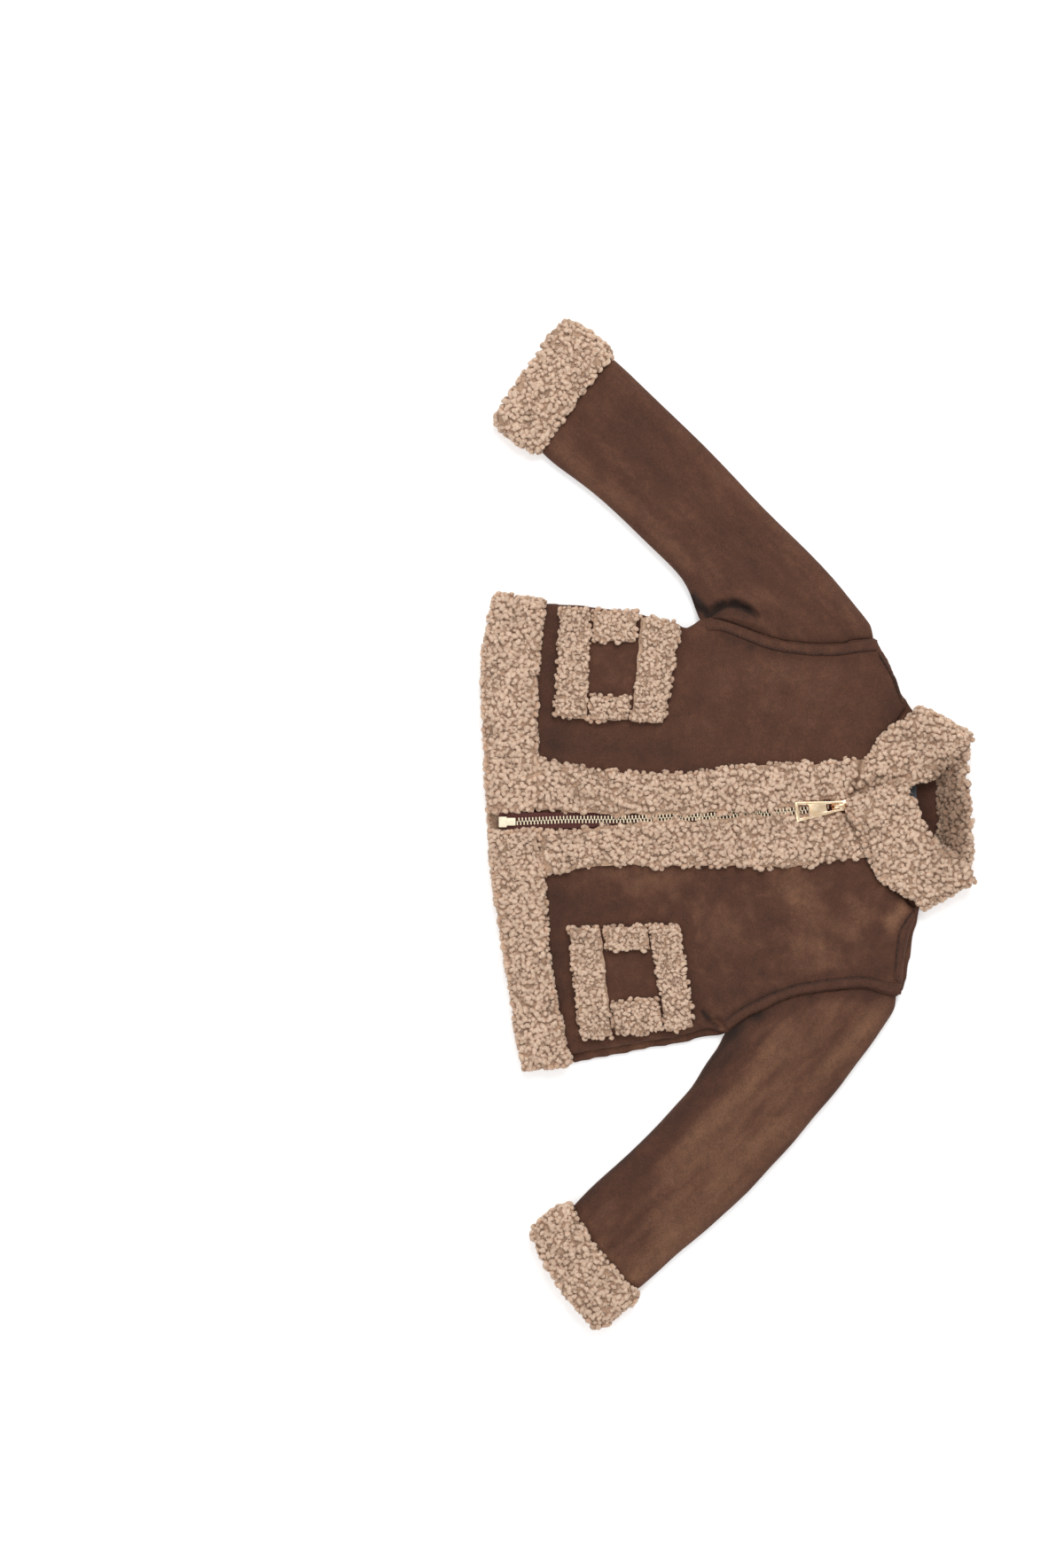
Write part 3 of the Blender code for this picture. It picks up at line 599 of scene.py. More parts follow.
def stitch_row(name, line, length, gap, thick):
    """A row of machine stitches along a line of mm points: short round threads, sunk at their ends."""
    stitch = bmesh.new()
    line = [Vector(point) for point in line]
    steps = [0.0]
    for a, b in zip(line, line[1:]):
        steps.append(steps[-1] + (b - a).length)
    spots = np.arange(1.0, steps[-1] - length, length + gap)
    columns = np.array(line).T
    for spot in spots:
        start, end = (Vector([np.interp(at, steps, column) for column in columns])
                      for at in (spot, spot + length))
        along = end - start
        made = bmesh.ops.create_uvsphere(stitch, u_segments=6, v_segments=4, radius=0.5)
        bmesh.ops.scale(stitch, verts=made["verts"], vec=(thick, thick, length))
        bmesh.ops.rotate(stitch, verts=made["verts"], matrix=along.to_track_quat("Z", "Y").to_matrix())
        bmesh.ops.translate(stitch, verts=made["verts"], vec=(start + end) / 2)
    sewn_on(placed_in(name, in_metres(stitch, name)), thread)


FRONT_TOP = 10.5  # The height of the fronts' faces where they lie flat.
for side in ("right", "left"):
    for kind, inset in (("armhole", 1.7), ("shoulder", 1.4)):
        strip = cut_from(f"{kind}_seam_{side}", f"{kind}_strip_{side}", 0.8, 2)
        places, normals = points_of(strip)
        xs, ys, zs = places.T
        # A shoulder's strip runs on under the collar, narrow and close to the edge on the right. An
        # armhole's strip runs out to the edge.
        if kind == "shoulder":
            xs += np.clip((110 - np.abs(xs)) / 36, 0, 1) * (8 if side == "right" else -11)
            if side == "right":
                out = np.array((-0.368, 0.930))
                places[:, :2] -= 0.5 * ((places[:, :2] - (-118.4, 103.9)) @ out)[:, None] * out
                ys += 1.0 + 3.3 * np.clip((xs + 118) / 15, 0, 1)
            else:
                ys += 5.8 * np.clip((76 - xs) / 16, 0, 1) ** 1.3
        else:
            ys += 3.0 * np.clip((ys - ys.max() + 14) / 14, 0, 1)
        put_points(strip, places)
        top = surface_of(strip)
        # The strip's run, and the side of it towards the middle of the coat, where it is stitched down.
        centre = places[:, :2].mean(axis=0)
        run = np.linalg.svd(places[::9, :2] - centre, full_matrices=False)[2][0]
        body = np.array((-run[1], run[0]))
        body *= -np.sign(body @ centre)
        along, across = (places[:, :2] - centre) @ run, (places[:, :2] - centre) @ body
        inner, rim = [], []
        for step in np.linspace(along.min() + 2, along.max() - 2, 60):
            edge = across[np.abs(along - step) < 0.9].max()
            x, y = centre + run * step + body * (edge - inset)
            hit = plumb(top, x, y)
            if hit:
                inner.append((x, y, hit.z / MM + 0.05))
                rim.append(centre + run * step + body * (edge - 0.3))
        # A groove where the stitches pull the strip down.
        line = np.array(inner)
        for place, normal in zip(places, normals):
            near = np.min(np.hypot(line[:, 0] - place[0], line[:, 1] - place[1]))
            place[2] -= max(0.0, normal[2]) * 0.35 * math.exp(-(near / 0.9) ** 2)
        # The strip lies on its front, whose edge rolls down at the shoulder.
        under = surface_of(fronts[side])
        for place in places:
            hit = plumb(under, place[0], place[1]) or under.find_nearest(Vector(place) * MM)[0]
            place[2] += min(0.5, max(-4.0, hit.z / MM - FRONT_TOP))
        # The strip dies away into the underarm.
        if kind == "armhole":
            zs -= np.clip((ys.min() + 12 - ys) / 12, 0, 1) ** 2 * 1.3
        put_points(strip, places)
        # Painted shade along the strip's inner edge, where it meets the front.
        paint_nap_and_light(strip, [(*a, *b, 0.9, -0.6) for a, b in zip(rim[::6], rim[6::6])], 0.08, 8)
        sewn_on(strip, seam_suede)
        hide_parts(f"{kind}_seam_{side}")
        top = surface_of(strip)
        for i, (x, y, _) in enumerate(line):
            hit = plumb(top, x, y)
            line[i, 2] = hit.z / MM if hit else line[i - 1, 2]
        stitch_row(f"{kind}_stitches_{side}", line + (0, 0, 0.08), length=2.4, gap=0.7, thick=0.45)

# ----------------------------------------
# Sherpa: a knitted backing with a pile of tight little curls. The cuffs are tubes of it, turned
# back over the sleeve ends.
SHERPA_LIGHT = linear(222, 195, 173)
SHERPA_MIDDLE = linear(214, 186, 163)
# The darkest colour is painted shade at the curls' roots, between them.
SHERPA_ROOT_SHADE = linear(199, 163, 137)


def painted_light_of(tree):
    """Painted shade and light on the pile, from the nap attribute: darker in folds, slits and the collar's
    inner face, a little lighter where it is high.
    """
    return ramp_of(tree, stored(tree, "nap_and_painted_light"), (0, (0.46, 0.40, 0.36, 1)), (0.5, grey(1)), (1, grey(1.12)))


def pile_finish(name, low, middle, high):
    """Sherpa curls: painted shade darkens each curl towards its root, where shade falls between curls, and
    each curl is a little lighter or darker than the next.
    """
    material, tree, shader = new_material(name, 0.95, 0.35, linear(235, 215, 195))
    tone = stored(tree, "tone")
    # The colour at the roots is painted shade between the curls.
    tufts = mixed(tree, "MIX", stored(tree, "height"), low, mixed(tree, "MIX", tone, middle, high))
    shaded = mixed(tree, "MULTIPLY", 1.0, tufts, painted_light_of(tree))
    # The fibres run along each lock, on the lock's own grain.
    fibre, strand = clouded(tree, 4.5, 5, (0.66, 0.62, 0.58, 1), grey(1.34), 0.34, 0.66,
                            stored(tree, "grain", "Vector"), 0.8)
    fibre.noise_dimensions = "4D"
    give(tree, fibre, W=tone)
    raised(tree, shader, fibre.outputs["Fac"], 1.0, 0.6)
    give(tree, shader, Base_Color=mixed(tree, "MULTIPLY", 0.7, shaded, strand))
    return material


def fleece_finish(name, low, high):
    """The close pile under the curls, as round knots with darker gaps: its darker tone and the dark gaps are
    painted shade among the curls.
    """
    material, tree, shader = new_material(name, 0.97, 0.3, linear(220, 195, 170))
    place = place_of(tree)
    knots = node_of(tree, "ShaderNodeTexVoronoi", Vector=place, Scale=420).outputs["Distance"]
    tufts = ramp_of(tree, knots, (0.15, high), (0.75, low))
    give(tree, shader, Base_Color=mixed(tree, "MULTIPLY", 1.0, tufts, painted_light_of(tree)))
    fibre = node_of(tree, "ShaderNodeTexNoise", Vector=place, Scale=1300, Detail=6, Distortion=2.5)
    fine = raised(tree, shader, fibre.outputs["Fac"], 1.0, 0.6)
    raised(tree, fine, knots, 0.8, 0.9, inward=True)
    return material


sherpa_curls = pile_finish("sherpa_curls", SHERPA_ROOT_SHADE, SHERPA_MIDDLE, SHERPA_LIGHT)
# The ground's colours, darker than the curls, are painted shade between the curls.
shaded_sherpa_ground = fleece_finish("shaded_sherpa_ground", linear(190, 155, 128), linear(212, 180, 154))

LOCK_SIDES = 7
CURL_SHAPES = [
    # name, thick, turn, sweep, rise, steps, lean
    ("curl_knob", 1.75, 0.55, 150, 0.4, 4, 8),
    ("curl_comma", 1.50, 1.05, 190, 0.5, 5, 10),
    ("curl_ring", 1.30, 1.15, 270, 0.6, 6, 0),
    ("curl_arch", 1.45, 1.30, 160, 0.3, 5, 40),
    ("curl_wisp", 1.70, 0.60, 140, 0.4, 4, 10),
]
curl_shapes = bpy.data.collections.new("curl_shapes")
for name, thick, turn, sweep, rise, steps, lean in CURL_SHAPES:
    bm = bmesh.new()
    bmesh.ops.create_circle(bm, cap_ends=True, segments=LOCK_SIDES, radius=thick)
    bmesh.ops.rotate(bm, verts=bm.verts, matrix=Euler((math.pi / 2, 0, 0)).to_matrix())
    bmesh.ops.translate(bm, verts=bm.verts, vec=(turn, 0, 0))
    bmesh.ops.spin(bm, geom=bm.verts[:] + bm.edges[:] + bm.faces[:], cent=(0, 0, 0), axis=(0, 0, 1),
                   dvec=(0, 0, rise / steps), angle=math.radians(sweep), steps=steps, use_merge=False)
    bmesh.ops.remove_doubles(bm, verts=bm.verts, dist=0.01)
    # A lock of fleece is fattest at its middle and draws in to both ends.
    bm.verts.ensure_lookup_table()
    grain = []
    round_lock = np.linspace(0, 2 * math.pi, LOCK_SIDES, endpoint=False)
    for step in range(steps + 1):
        grain += [(math.cos(angle), math.sin(angle), 0.22 * step) for angle in round_lock]
        turned = math.radians(sweep) * step / steps
        centre = Vector((turn * math.cos(turned), turn * math.sin(turned), rise * step / steps))
        share = 0.62 + 0.38 * math.sin(math.pi * (step + 0.5) / (steps + 1))
        for vert in bm.verts[step * LOCK_SIDES:(step + 1) * LOCK_SIDES]:
            vert.co = centre + (vert.co - centre) * share * (1 + 0.22 * noise.noise(vert.co * 0.9 + centre))
    bmesh.ops.recalc_face_normals(bm, faces=bm.faces)
    bmesh.ops.rotate(bm, verts=bm.verts, matrix=Euler((math.radians(lean), 0, 0)).to_matrix())
    if name == "curl_wisp":
        # A few fine fibres that have worked loose from the lock.
        for tilt, heading in ((0.7, 0.4), (1.0, 2.4), (0.8, 4.3), (1.3, 5.4)):
            hair = bmesh.ops.create_cone(bm, segments=3, radius1=0.09, radius2=0.02, depth=1.8)["verts"]
            bmesh.ops.translate(bm, verts=hair, vec=(0, 0, 1.8))
            bmesh.ops.rotate(bm, verts=hair, matrix=Euler((tilt, 0, heading)).to_matrix())
    mesh = in_metres(bm, name)
    # The height paints shade: the curls are coloured darker towards their roots, and the loose fibres are
    # kept light.
    tall = np.array([v.co.z for v in mesh.vertices]) / MM
    tall[len(grain):] = tall.max()
    keep(mesh, "height", np.clip((tall / tall.max() - 0.12) / 0.62, 0, 1))
    keep(mesh, "grain", np.array(grain + [(0, 0, 0)] * (len(tall) - len(grain))))
    mesh.materials.append(sherpa_curls)
    curl_shapes.objects.link(bpy.data.objects.new(name, mesh))

# The node group that strews the curls over a piece, thicker where its pile attribute is high.
strew = bpy.data.node_groups.new("strew_curls", "GeometryNodeTree")
strew.interface.new_socket("Curls", in_out="OUTPUT", socket_type="NodeSocketGeometry")
socket_ids = {}
for name, kind in (("Cloth", "Geometry"), ("Seed", "Int"), ("Spacing", "Float"), ("Size", "Float")):
    socket = strew.interface.new_socket(name, in_out="INPUT", socket_type="NodeSocket" + kind)
    socket_ids[name] = socket.identifier


def random_values(kind, low, high, offset):
    """Random values for each curl, from low to high."""
    node = strew.nodes.new("FunctionNodeRandomValue")
    node.data_type = kind
    # The node has sockets for every kind of value, told apart only by their order.
    least, most, result = {"FLOAT": (2, 3, 1), "FLOAT_VECTOR": (0, 1, 0), "INT": (4, 5, 2)}[kind]
    node.inputs[least].default_value = low
    node.inputs[most].default_value = high
    node.inputs["Seed"].default_value = offset
    return node.outputs[result]


cloth = strew.nodes.new("NodeGroupInput").outputs
pile = strew.nodes.new("GeometryNodeInputNamedAttribute")
pile.data_type = "FLOAT"
give(strew, pile, Name="pile")
scatter = strew.nodes.new("GeometryNodeDistributePointsOnFaces")
scatter.distribute_method = "POISSON"
give(strew, scatter, Mesh=cloth["Cloth"], Seed=cloth["Seed"], Distance_Min=cloth["Spacing"],
     Density_Max=3000000, Density_Factor=pile.outputs["Attribute"])
shapes = node_of(strew, "GeometryNodeCollectionInfo", Collection=curl_shapes, Separate_Children=True,
                 Reset_Children=True)
turned = strew.nodes.new("FunctionNodeRotateRotation")
turned.rotation_space = "LOCAL"
give(strew, turned, Rotation=scatter.outputs["Rotation"],
     Rotate_By=random_values("FLOAT_VECTOR", (-0.6, -0.6, 0.0), (0.6, 0.6, 6.283), 2))
sized = node_of(strew, "ShaderNodeMath", random_values("FLOAT", 0.82, 1.12, 3), cloth["Size"])
sized.operation = "MULTIPLY"
placed = node_of(strew, "GeometryNodeInstanceOnPoints", Points=scatter.outputs["Points"],
                 Instance=shapes.outputs["Instances"], Pick_Instance=True,
                 Instance_Index=random_values("INT", 0, len(CURL_SHAPES) - 1, 1),
                 Rotation=turned.outputs["Rotation"], Scale=sized.outputs["Value"])
toned = strew.nodes.new("GeometryNodeStoreNamedAttribute")
toned.domain = "INSTANCE"
toned.data_type = "FLOAT"
give(strew, toned, Geometry=placed.outputs["Instances"], Name="tone",
     Value=random_values("FLOAT", 0.0, 1.0, 4))
real = node_of(strew, "GeometryNodeRealizeInstances", Geometry=toned.outputs["Geometry"])
node_of(strew, "NodeGroupOutput", Curls=real.outputs["Geometry"])


def sherpa_ground_of(node, name, mesh_size, sides, top, hollow=False):
    """The backing and close pile of a sherpa piece: its solid, drawn in at sides and top for the curls."""
    ground = tube_from(node, name, mesh_size) if hollow else cut_from(node, name, mesh_size, 2)
    places, normals = points_of(ground)
    normals[:, 2] = np.maximum(normals[:, 2], 0)
    put_points(ground, places - normals * (sides, sides, top))
    return ground


def swell(ground, high, size, seed):
    """The clumps of the pile: the ground comes forward and falls back by high mm, also at its edges."""
    places, normals = points_of(ground)
    normals[:, 2] = np.maximum(normals[:, 2], 0)
    shift = Vector((seed * 13.7, seed * 5.1, 0))
    spots = [Vector(place) / size for place in places]
    lift = np.array([noise.noise(spot + shift) + 0.5 * noise.noise(spot * 2.2 + shift) for spot in spots])
    put_points(ground, places + normals * (lift * high * 1.6)[:, None])


def grow_curls(ground, name, seed, spacing=2.8, size=1.36, hidden=None, joints=()):
    """Strews curls on the faces of a sherpa piece that show.

    hidden(places, normals) marks what lies covered. None grow along the joints, where two pieces butt.
    """
    places, normals = points_of(ground)
    shows = (normals[:, 2] > -0.35) & (places[:, 2] > 1.2)
    for *line, wide, _ in joints:
        shows &= distances(places, *line) > wide + 0.5
    if hidden is not None:
        shows &= ~hidden(places, normals)
    keep(ground.data, "pile", shows)
    curls = placed_in(name, ground.data.copy())
    strewn = curls.modifiers.new("curls", "NODES")
    strewn.node_group = strew
    strewn[socket_ids["Seed"]] = seed
    strewn[socket_ids["Spacing"]] = spacing * MM
    strewn[socket_ids["Size"]] = size
    settle(curls)
    put_points(curls, points_of(curls)[0])
    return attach(curls, "coat")


for side, size in (("right", (0.196, 0.044)), ("left", (0.188, 0.043))):
    ground = sherpa_ground_of("cuff_" + side, f"cuff_{side}_ground", 2.2, 0.6, 1.4, hollow=True)
    swell(ground, 0.8, 7, 6)
    paint_nap_and_light(ground, [], 0.22, 9, seed=9)
    sewn_on(ground, shaded_sherpa_ground)
    # The end of the sleeve runs on inside the cuff.
    inside = surface_of(ground)
    places, _ = points_of(sleeves[side])
    for place in places:
        away = inside.find_nearest(Vector(place) * MM, 16 * MM)[3]
        if away is not None:
            place[:2] += np.array((-5.0, -4.8) if side == "right" else (5.4, -4.3)) * (1 - away / MM / 16)
    put_points(sleeves[side], places)
    curls = grow_curls(ground, f"cuff_{side}_curls", 11 if side == "right" else 12)
    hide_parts("cuff_" + side)

# ----------------------------------------
# Hem band: a strip of the sherpa, rolled over the lower edge, with one part on the back and one
# on each front.
BAND_JOINTS = [
    # The strength darkens the ground along each joint: painted shade in the slit.
    # x0, y0, x1, y1, wide, strength
    (-39, -133.6, -28, -134, 0.5, -0.8), (-26, -134.4, -17, -133.6, 0.9, -1.0),
]


def covered(places, normals):
    """The inside of the band at the back, which the fronts' bands lie on."""
    return normals[:, 2] > 0.75


bands = {}
for part, seed, size, rests in (
    ("back", 21, (0.034, 0.334), []),
    ("right", 22, (0.038, 0.160), ["hem_band_back_ground"]),
    ("left", 23, (0.038, 0.170), ["hem_band_back_ground"]),
):
    ground = sherpa_ground_of("hem_band_" + part, f"hem_band_{part}_ground", 1.8, 1.5, 1.6)
    swell(ground, 0.9, 7, seed)
    paint_nap_and_light(ground, BAND_JOINTS, 0.22, 9, seed=10)
    bands[part] = ground
    sewn_on(ground, shaded_sherpa_ground)
    draw_together(back if part == "back" else fronts[part], ground, 2.2, 4.0)
    curls = grow_curls(ground, f"hem_band_{part}_curls", seed, hidden=covered if part == "back" else None,
                       joints=BAND_JOINTS)
    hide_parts("hem_band_" + part)

# ----------------------------------------
# Pockets: a patch of the suede on each front, framed by four strips of the sherpa. The short strips butt
# against the long ones, with a slit where they meet that is darkened with painted shade.
POCKET_JOINTS = {
    # The strength darkens the ground along each joint: painted shade in the slit.
    # x0, y0, x1, y1, wide, strength
    "right": [
        (-137, -96.5, -130, -97, 0.4, -0.5), (-144, -61.5, -127, -63, 0.7, -0.7),
        (-92, -99.5, -77, -99.8, 0.7, -0.7), (-87, -67.8, -80, -68, 0.4, -0.5),
    ],
    "left": [
        (78, -91, 87, -89.6, 0.5, -0.6), (76, -57, 87, -55, 0.7, -0.7),
        (126, -84.6, 140, -83.6, 0.9, -0.9), (122, -49.2, 136, -47.4, 0.9, -0.9),
    ],
}
# The long strips' inner edges are folded under, so they run straight and clean.
POCKET_FOLDS = {
    "right": [(-130, -97, -92, -99.5, 0.9, 0), (-127, -63, -87, -67.8, 0.9, 0)],
    "left": [(87, -89.6, 126, -84.6, 0.9, 0), (87, -55, 122, -49.2, 0.9, 0)],
}


def underside(places, normals):
    """The part of a strip that lies in the seam with the patch."""
    return places[:, 2] < 12.6


for side in ("right", "left"):
    patch = cut_from("pocket_patch_" + side, f"pocket_{side}_patch", 0.9, 1)
    unevenness(patch, 0.5, 16, 7)
    paint_nap_and_light(patch, [], 0.10, 10, seed=8)
    sewn_on(patch, suede)
    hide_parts("pocket_patch_" + side)
    for number, place in enumerate(("hem", "collar", "side", "centre")):
        name = f"pocket_trim_{side}_{place}"
        ground = sherpa_ground_of(name, f"pocket_{side}_{place}_ground", 1.2, 1.0, 1.5)
        swell(ground, 0.6, 6, number)
        paint_nap_and_light(ground, POCKET_JOINTS[side], 0.22, 9, seed=11)
        sewn_on(ground, shaded_sherpa_ground)
        curls = grow_curls(ground, f"pocket_{side}_{place}_curls", 31 + number, 2.5, 1.15, underside,
                           POCKET_JOINTS[side] + POCKET_FOLDS[side])
        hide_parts(name)
        low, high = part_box(name)
        across = max(0.0102, min(high.x - low.x, high.y - low.y) - 6 * MM)

# ----------------------------------------
# Collar: one band with the sherpa on both faces, sewn round the neck and folded down flat at the
# sides, its left end over its right.
# Painted shade on the collar's inner back face, along the flaps' edges where they cross, and in its rolls.
COLLAR_SHADE = [
    # x0, y0, x1, y1, wide, strength
    (-38, 149, -12, 151, 8, -0.85), (-12, 151, 8, 153, 9, -0.85), (8, 156, 22, 160, 5.5, -0.8),
    (-45, 161, -32, 155, 5, -0.7), (-30, 159, 4, 160, 5, -0.45),
    (-28, 92, -33, 106, 2.5, -0.6), (-33, 106, -27, 118, 2.5, -0.5),
    (18, 126, 30, 144, 7, -0.2), (-64, 136, -40, 142, 8, -0.15),
]
collar = sherpa_ground_of("collar", "collar_ground", 2.2, 1.1, 1.3, hollow=True)
swell(collar, 0.9, 8, 51)
# The back of the collar stands up from the neck, steeper towards the seam, and its inner face lies in
# the shade.
places, _ = points_of(collar)
x, y, z = places.T
inside = np.clip((y - 137) / 3, 0, 1) * np.clip((24 - z) / 14, 0, 1)
inside *= np.clip((x + 40) / 8, 0, 1) * np.clip((22 - x) / 8, 0, 1)
inside *= np.clip((156 - y) / 4, 0, 1) * (z < np.where(x > 6, 17.5, 40))
y += 5.0 * inside
# Its lower edge comes down over the end of the zip.
y -= 4.5 * (np.clip((95 - y) / 4, 0, 1) * np.exp(-((x + 12) / 9) ** 4))
put_points(collar, places)
# Paints the shade over the inner face and along the flaps' edges.
paint_nap_and_light(collar, COLLAR_SHADE, 0.2, 9, seed=12)
for panel in (fronts["right"], fronts["left"], back, facing):
    draw_together(panel, collar, 3.0, 5.0)
sewn_on(collar, shaded_sherpa_ground)


def over_label(places, normals):
    """The inner rim of the right flap, which lies clear of the label."""
    x, y, z = places.T
    return (np.abs(x + 23.5) < 9.5) & (np.abs(y - 129) < 10) & (z < 14)


curls = grow_curls(collar, "collar_curls", 51, hidden=over_label)
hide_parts("collar")

# ----------------------------------------
# Zip: a metal zip on two woven tapes that are sewn under the plackets. Each tooth is clenched on
# its tape's edge, and the two rows lock head to head.
tape_weave = woven("tape_weave", linear(66, 29, 24), linear(94, 44, 37), 0.7, 0)
for side in ("right", "left"):
    tape = cut_from("zip_tape_" + side, f"zip_tape_{side}_woven", 0.55, 1)
    sewn_on(tape, tape_weave)
    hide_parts("zip_tape_" + side)

CHAIN_MIDDLE = [(-165, -2), (-139, -3), (-114, -4), (-77, -4), (-52, -5), (-15, -6), (11, -8.5), (26, -8.5),
                (46, -10), (70, -12), (92, -13)]
TOOTH = (3.0, 1.0, 2.1)
TOOTH_PITCH = 2.4
gold, gold_tree, gold_shader = new_material("pale_gold", 0.24)
brushed, tint = clouded(gold_tree, 220, 2, linear(240, 208, 168), linear(250, 228, 196), 0.3, 0.7,
                        place_of(gold_tree))
# A painted reflection: the plating is mixed to a deeper orange over the edges and down the sides, by the
# stored normals.
facing = node_of(gold_tree, "ShaderNodeVectorMath", stored(gold_tree, "facing", "Vector"))
facing.operation = "NORMALIZE"
upright = node_of(gold_tree, "ShaderNodeSeparateXYZ", facing.outputs["Vector"])
level = node_of(gold_tree, "ShaderNodeMath", upright.outputs["Z"])
level.operation = "ABSOLUTE"
turned = node_of(gold_tree, "ShaderNodeMapRange", level.outputs["Value"], 0.8, 0.995, 1.0, 0.0)
tint_and_painted_reflection = mixed(gold_tree, "MIX", turned.outputs["Result"], tint, linear(208, 132, 64))
rub = node_of(gold_tree, "ShaderNodeMapRange", brushed.outputs["Fac"], To_Min=0.16, To_Max=0.36)
give(gold_tree, gold_shader, Base_Color=tint_and_painted_reflection, Metallic=1.0, Roughness=rub.outputs["Result"])

brass, brass_tree, brass_shader = new_material("tooth_brass", 0.42)
_, dull = clouded(brass_tree, 500, 2, linear(236, 222, 190), linear(248, 238, 212), 0.3, 0.7,
                  place_of(brass_tree))
give(brass_tree, brass_shader, Base_Color=dull, Metallic=0.1)

low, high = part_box("zip_chain")
teeth = bmesh.new()
ys = np.arange(low.y / MM + 0.8, high.y / MM - 0.4, TOOTH_PITCH / 2)
mid_y, mid_x = np.array(CHAIN_MIDDLE, dtype=float).T
for number, y in enumerate(ys):
    sign = -1 if number % 2 else 1
    x = float(np.interp(y, mid_y, mid_x))
    slope = float(np.interp(y + 3, mid_y, mid_x) - np.interp(y - 3, mid_y, mid_x)) / 6
    made = bmesh.ops.create_cube(teeth, size=1.0)["verts"]
    bmesh.ops.scale(teeth, verts=made, vec=TOOTH)
    # The head of a tooth is narrower than its jaws, and stands a little lower.
    for vert in made:
        if vert.co.x * sign < 0:
            vert.co.y *= 0.72
            vert.co.z *= 0.86
    edges = list({edge for vert in made for edge in vert.link_edges})
    bevelled = bmesh.ops.bevel(teeth, geom=edges, offset=0.32, offset_type="OFFSET", segments=2, profile=0.5,
                               affect="EDGES", clamp_overlap=True, material=-1)
    made = list({vert for face in bevelled["faces"] for vert in face.verts})
    bmesh.ops.rotate(teeth, verts=made, matrix=Euler((0, 0, -math.atan(slope))).to_matrix())
    bmesh.ops.translate(teeth, verts=made, vec=(x + sign * 1.1, y, (low.z + high.z) / 2 / MM))
zip_teeth = placed_in("zip_teeth", in_metres(teeth, "zip_teeth"))
sewn_on(zip_teeth, brass)
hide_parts("zip_chain")


def cast_metal(node, name, rounding, body, finish):
    """A small cast part of the zip in its solid's form, with its edges rounded by rounding mm."""
    part = traced(node, name, 0.005)
    with mesh_of(part) as bm:
        bmesh.ops.dissolve_limit(bm, angle_limit=math.radians(1), verts=bm.verts, edges=bm.edges)
        sharp = [edge for edge in bm.edges if edge.calc_face_angle(0) > math.radians(35)]
        bmesh.ops.bevel(bm, geom=sharp, offset=rounding * MM, offset_type="OFFSET", segments=2, profile=0.5,
                        affect="EDGES", clamp_overlap=True, material=-1)
    part.data.shade_smooth()
    # The normals, kept for the gold's painted reflection along the edges.
    keep(part.data, "facing", points_of(part)[1])
    sewn_on(part, finish, body)
    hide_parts(node)


cast_metal("zip_box", "zip_box_cast", 0.15, "coat", brass)
cast_metal("zip_slider", "zip_slider_cast", 0.2, "coat", gold)
cast_metal("zip_pull", "zip_pull_cast", 0.35, "pull", gold)

# ----------------------------------------
# Plackets: a strip of the sherpa down each side of the zip, sewn on over the tape's edge.
COLLAR_EDGE = [(-45, 91.2, -34, 89.2), (-34, 89.2, -26, 87.2), (-26, 87.2, -20, 83.4)]
PLACKET_JOINTS = BAND_JOINTS + [(*row, 0.5, -1.0) for row in COLLAR_EDGE]
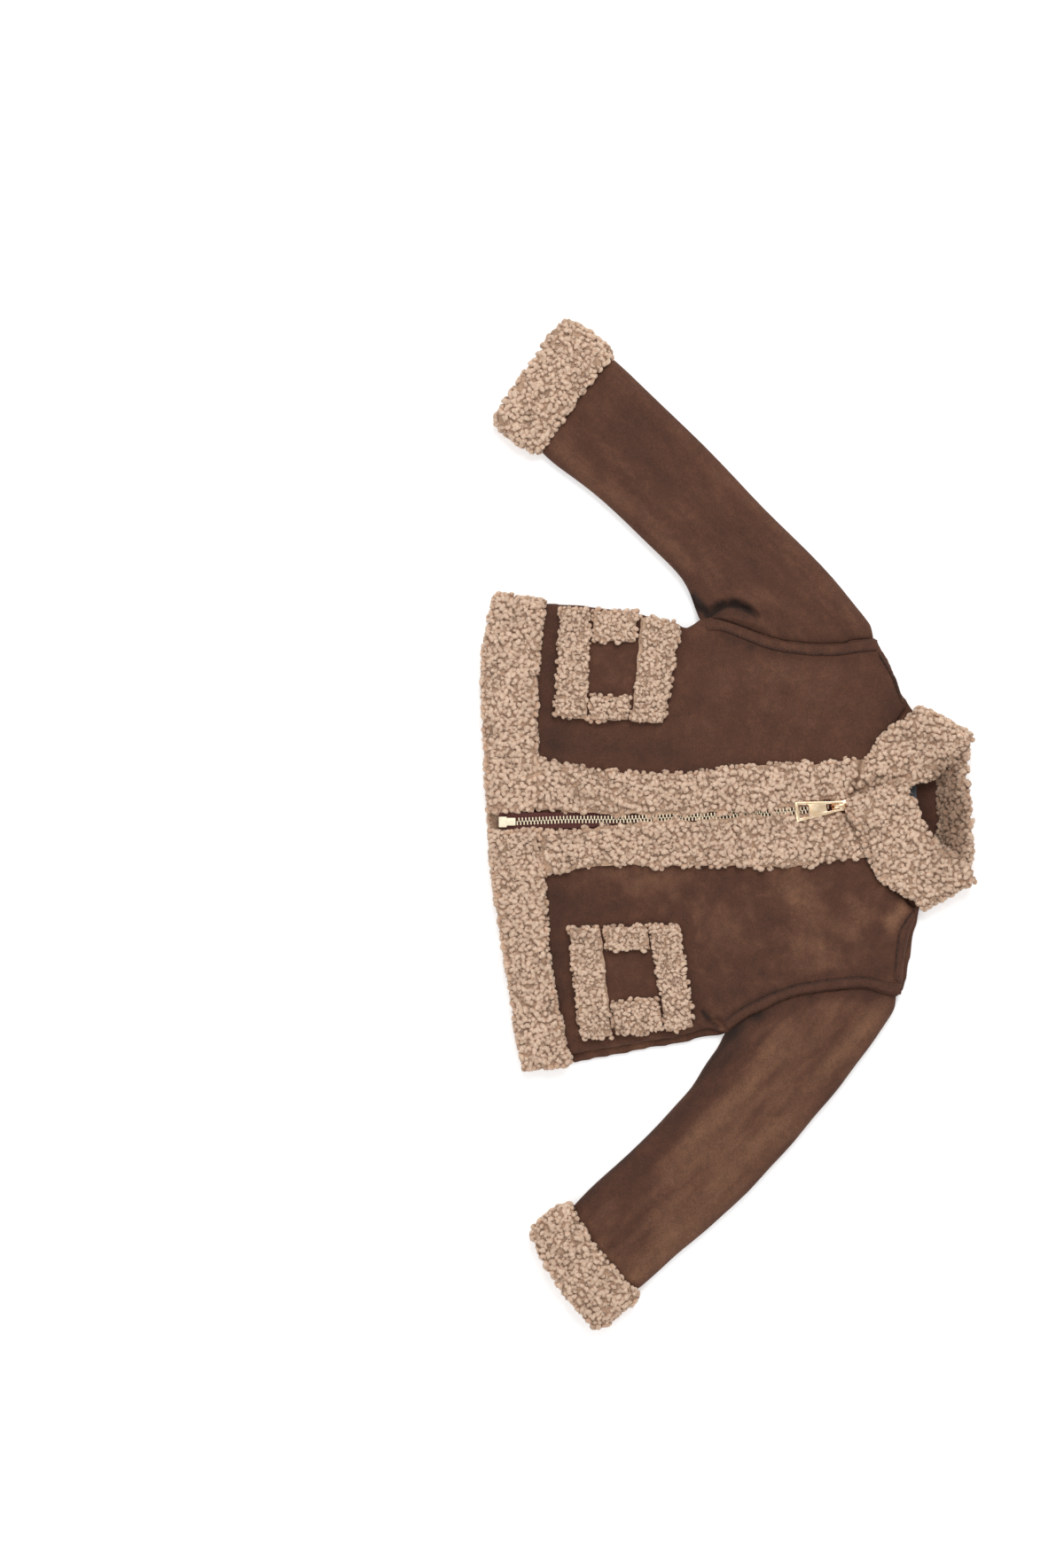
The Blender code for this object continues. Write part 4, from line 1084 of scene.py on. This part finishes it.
# Painted shade in the joints and on the plackets beside the collar's edge.
PLACKET_SHADE = BAND_JOINTS + [(*row, 1.7, -1.0) for row in COLLAR_EDGE] + [
    (-12, 84, 8, 88.5, 1.8, -0.6), (8, 88.5, 24, 94, 1.8, -0.6),
]
for side, sign, seed in (("right", -1, 41), ("left", 1, 42)):
    ground = sherpa_ground_of("placket_" + side, f"placket_{side}_ground", 1.6, 1.3, 1.6)
    swell(ground, 0.8, 7, seed)
    draw_together(ground, collar, 2.6, 4.0)
    draw_together(ground, bands[side], 2.6, 3.0)
    sewn_on(ground, shaded_sherpa_ground)
    # Above the hem both plackets close over the chain, more in some places than in others.
    places, _ = points_of(ground)
    x, y, z = places.T
    off = (x - np.interp(y, mid_y, mid_x)) * sign
    hang = np.clip((9.5 - off) / 4.5, 0, 1) * np.clip((y + 122) / 22, 0, 1)
    hang *= np.clip((76 - y) / 12, 0.45, 1) * np.clip((z - 10.8) / 1.2, 0, 1)
    hang *= 1 + 0.22 * np.sin(y / 4.1 + seed) + 0.15 * np.sin(y / 9.7)
    x -= sign * 2.9 * hang
    z += 0.8 * hang
    # The right one also closes up to the slider.
    if side == "right":
        x += 4.8 * (np.exp(-((y - 75) / 9.5) ** 4) * np.clip((13 - off) / 6, 0, 1))
    # Past the slider they meet, and run up to the collar.
    meet = np.clip((y - 79) / 3, 0, 1) * np.clip((14 - off) / 5, 0, 1)
    x -= sign * 3.5 * meet * np.clip((y - 81) / 2, 0, 1)
    y += 4.5 * meet + 2.5 * np.clip((y - 84) / 6, 0, 1) * (1 - meet)
    put_points(ground, places)
    # It dips where the edge of the collar bears on it.
    crease(ground, [(*row, 1.5, 2.0, 0.0, 0.0) for row in COLLAR_EDGE])
    paint_nap_and_light(ground, PLACKET_SHADE, 0.22, 9, seed=13)
    curls = grow_curls(ground, f"placket_{side}_curls", seed, joints=PLACKET_JOINTS)
    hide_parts("placket_" + side)

for shape in list(curl_shapes.objects):
    bpy.data.objects.remove(shape)

# ----------------------------------------
# A white surface under soft, even light, and the camera straight above.
surface = bmesh.new()
bmesh.ops.create_grid(surface, x_segments=1, y_segments=1, size=4000)
floor = placed_in("surface", in_metres(surface, "surface"))
white, white_tree, white_shader = new_material("white_surface", 0.9)
give(white_tree, white_shader, Base_Color=grey(0.9), Emission_Color=grey(1), Emission_Strength=0.3)
floor.data.materials.append(white)

scene.view_settings.view_transform = "Standard"
world = bpy.data.worlds.new("studio")
world.use_nodes = True
give(world.node_tree, world.node_tree.nodes["Background"], Color=grey(1), Strength=0.62)
scene.world = world
for name, place, size, power in (
    ("key_softbox", (-1.3, 0.2, 1.9), 1.1, 26),
    ("fill_softbox", (1.2, -0.9, 2.2), 1.6, 14),
):
    lamp = bpy.data.lights.new(name, "AREA")
    lamp.shape = "SQUARE"
    lamp.size = size
    lamp.energy = power
    stand = placed_in(name, lamp)
    stand.location = place
    stand.rotation_euler = (-Vector(place)).to_track_quat("-Z", "Y").to_euler()

lens = bpy.data.cameras.new("camera")
lens.lens = 82.0
lens.sensor_width = 36.0
lens.clip_end = 20
camera = placed_in("camera", lens)
camera.location = (-0.0288, -0.1386, 2.51)
camera.rotation_euler = (0, 0, math.pi / 2)
scene.camera = camera
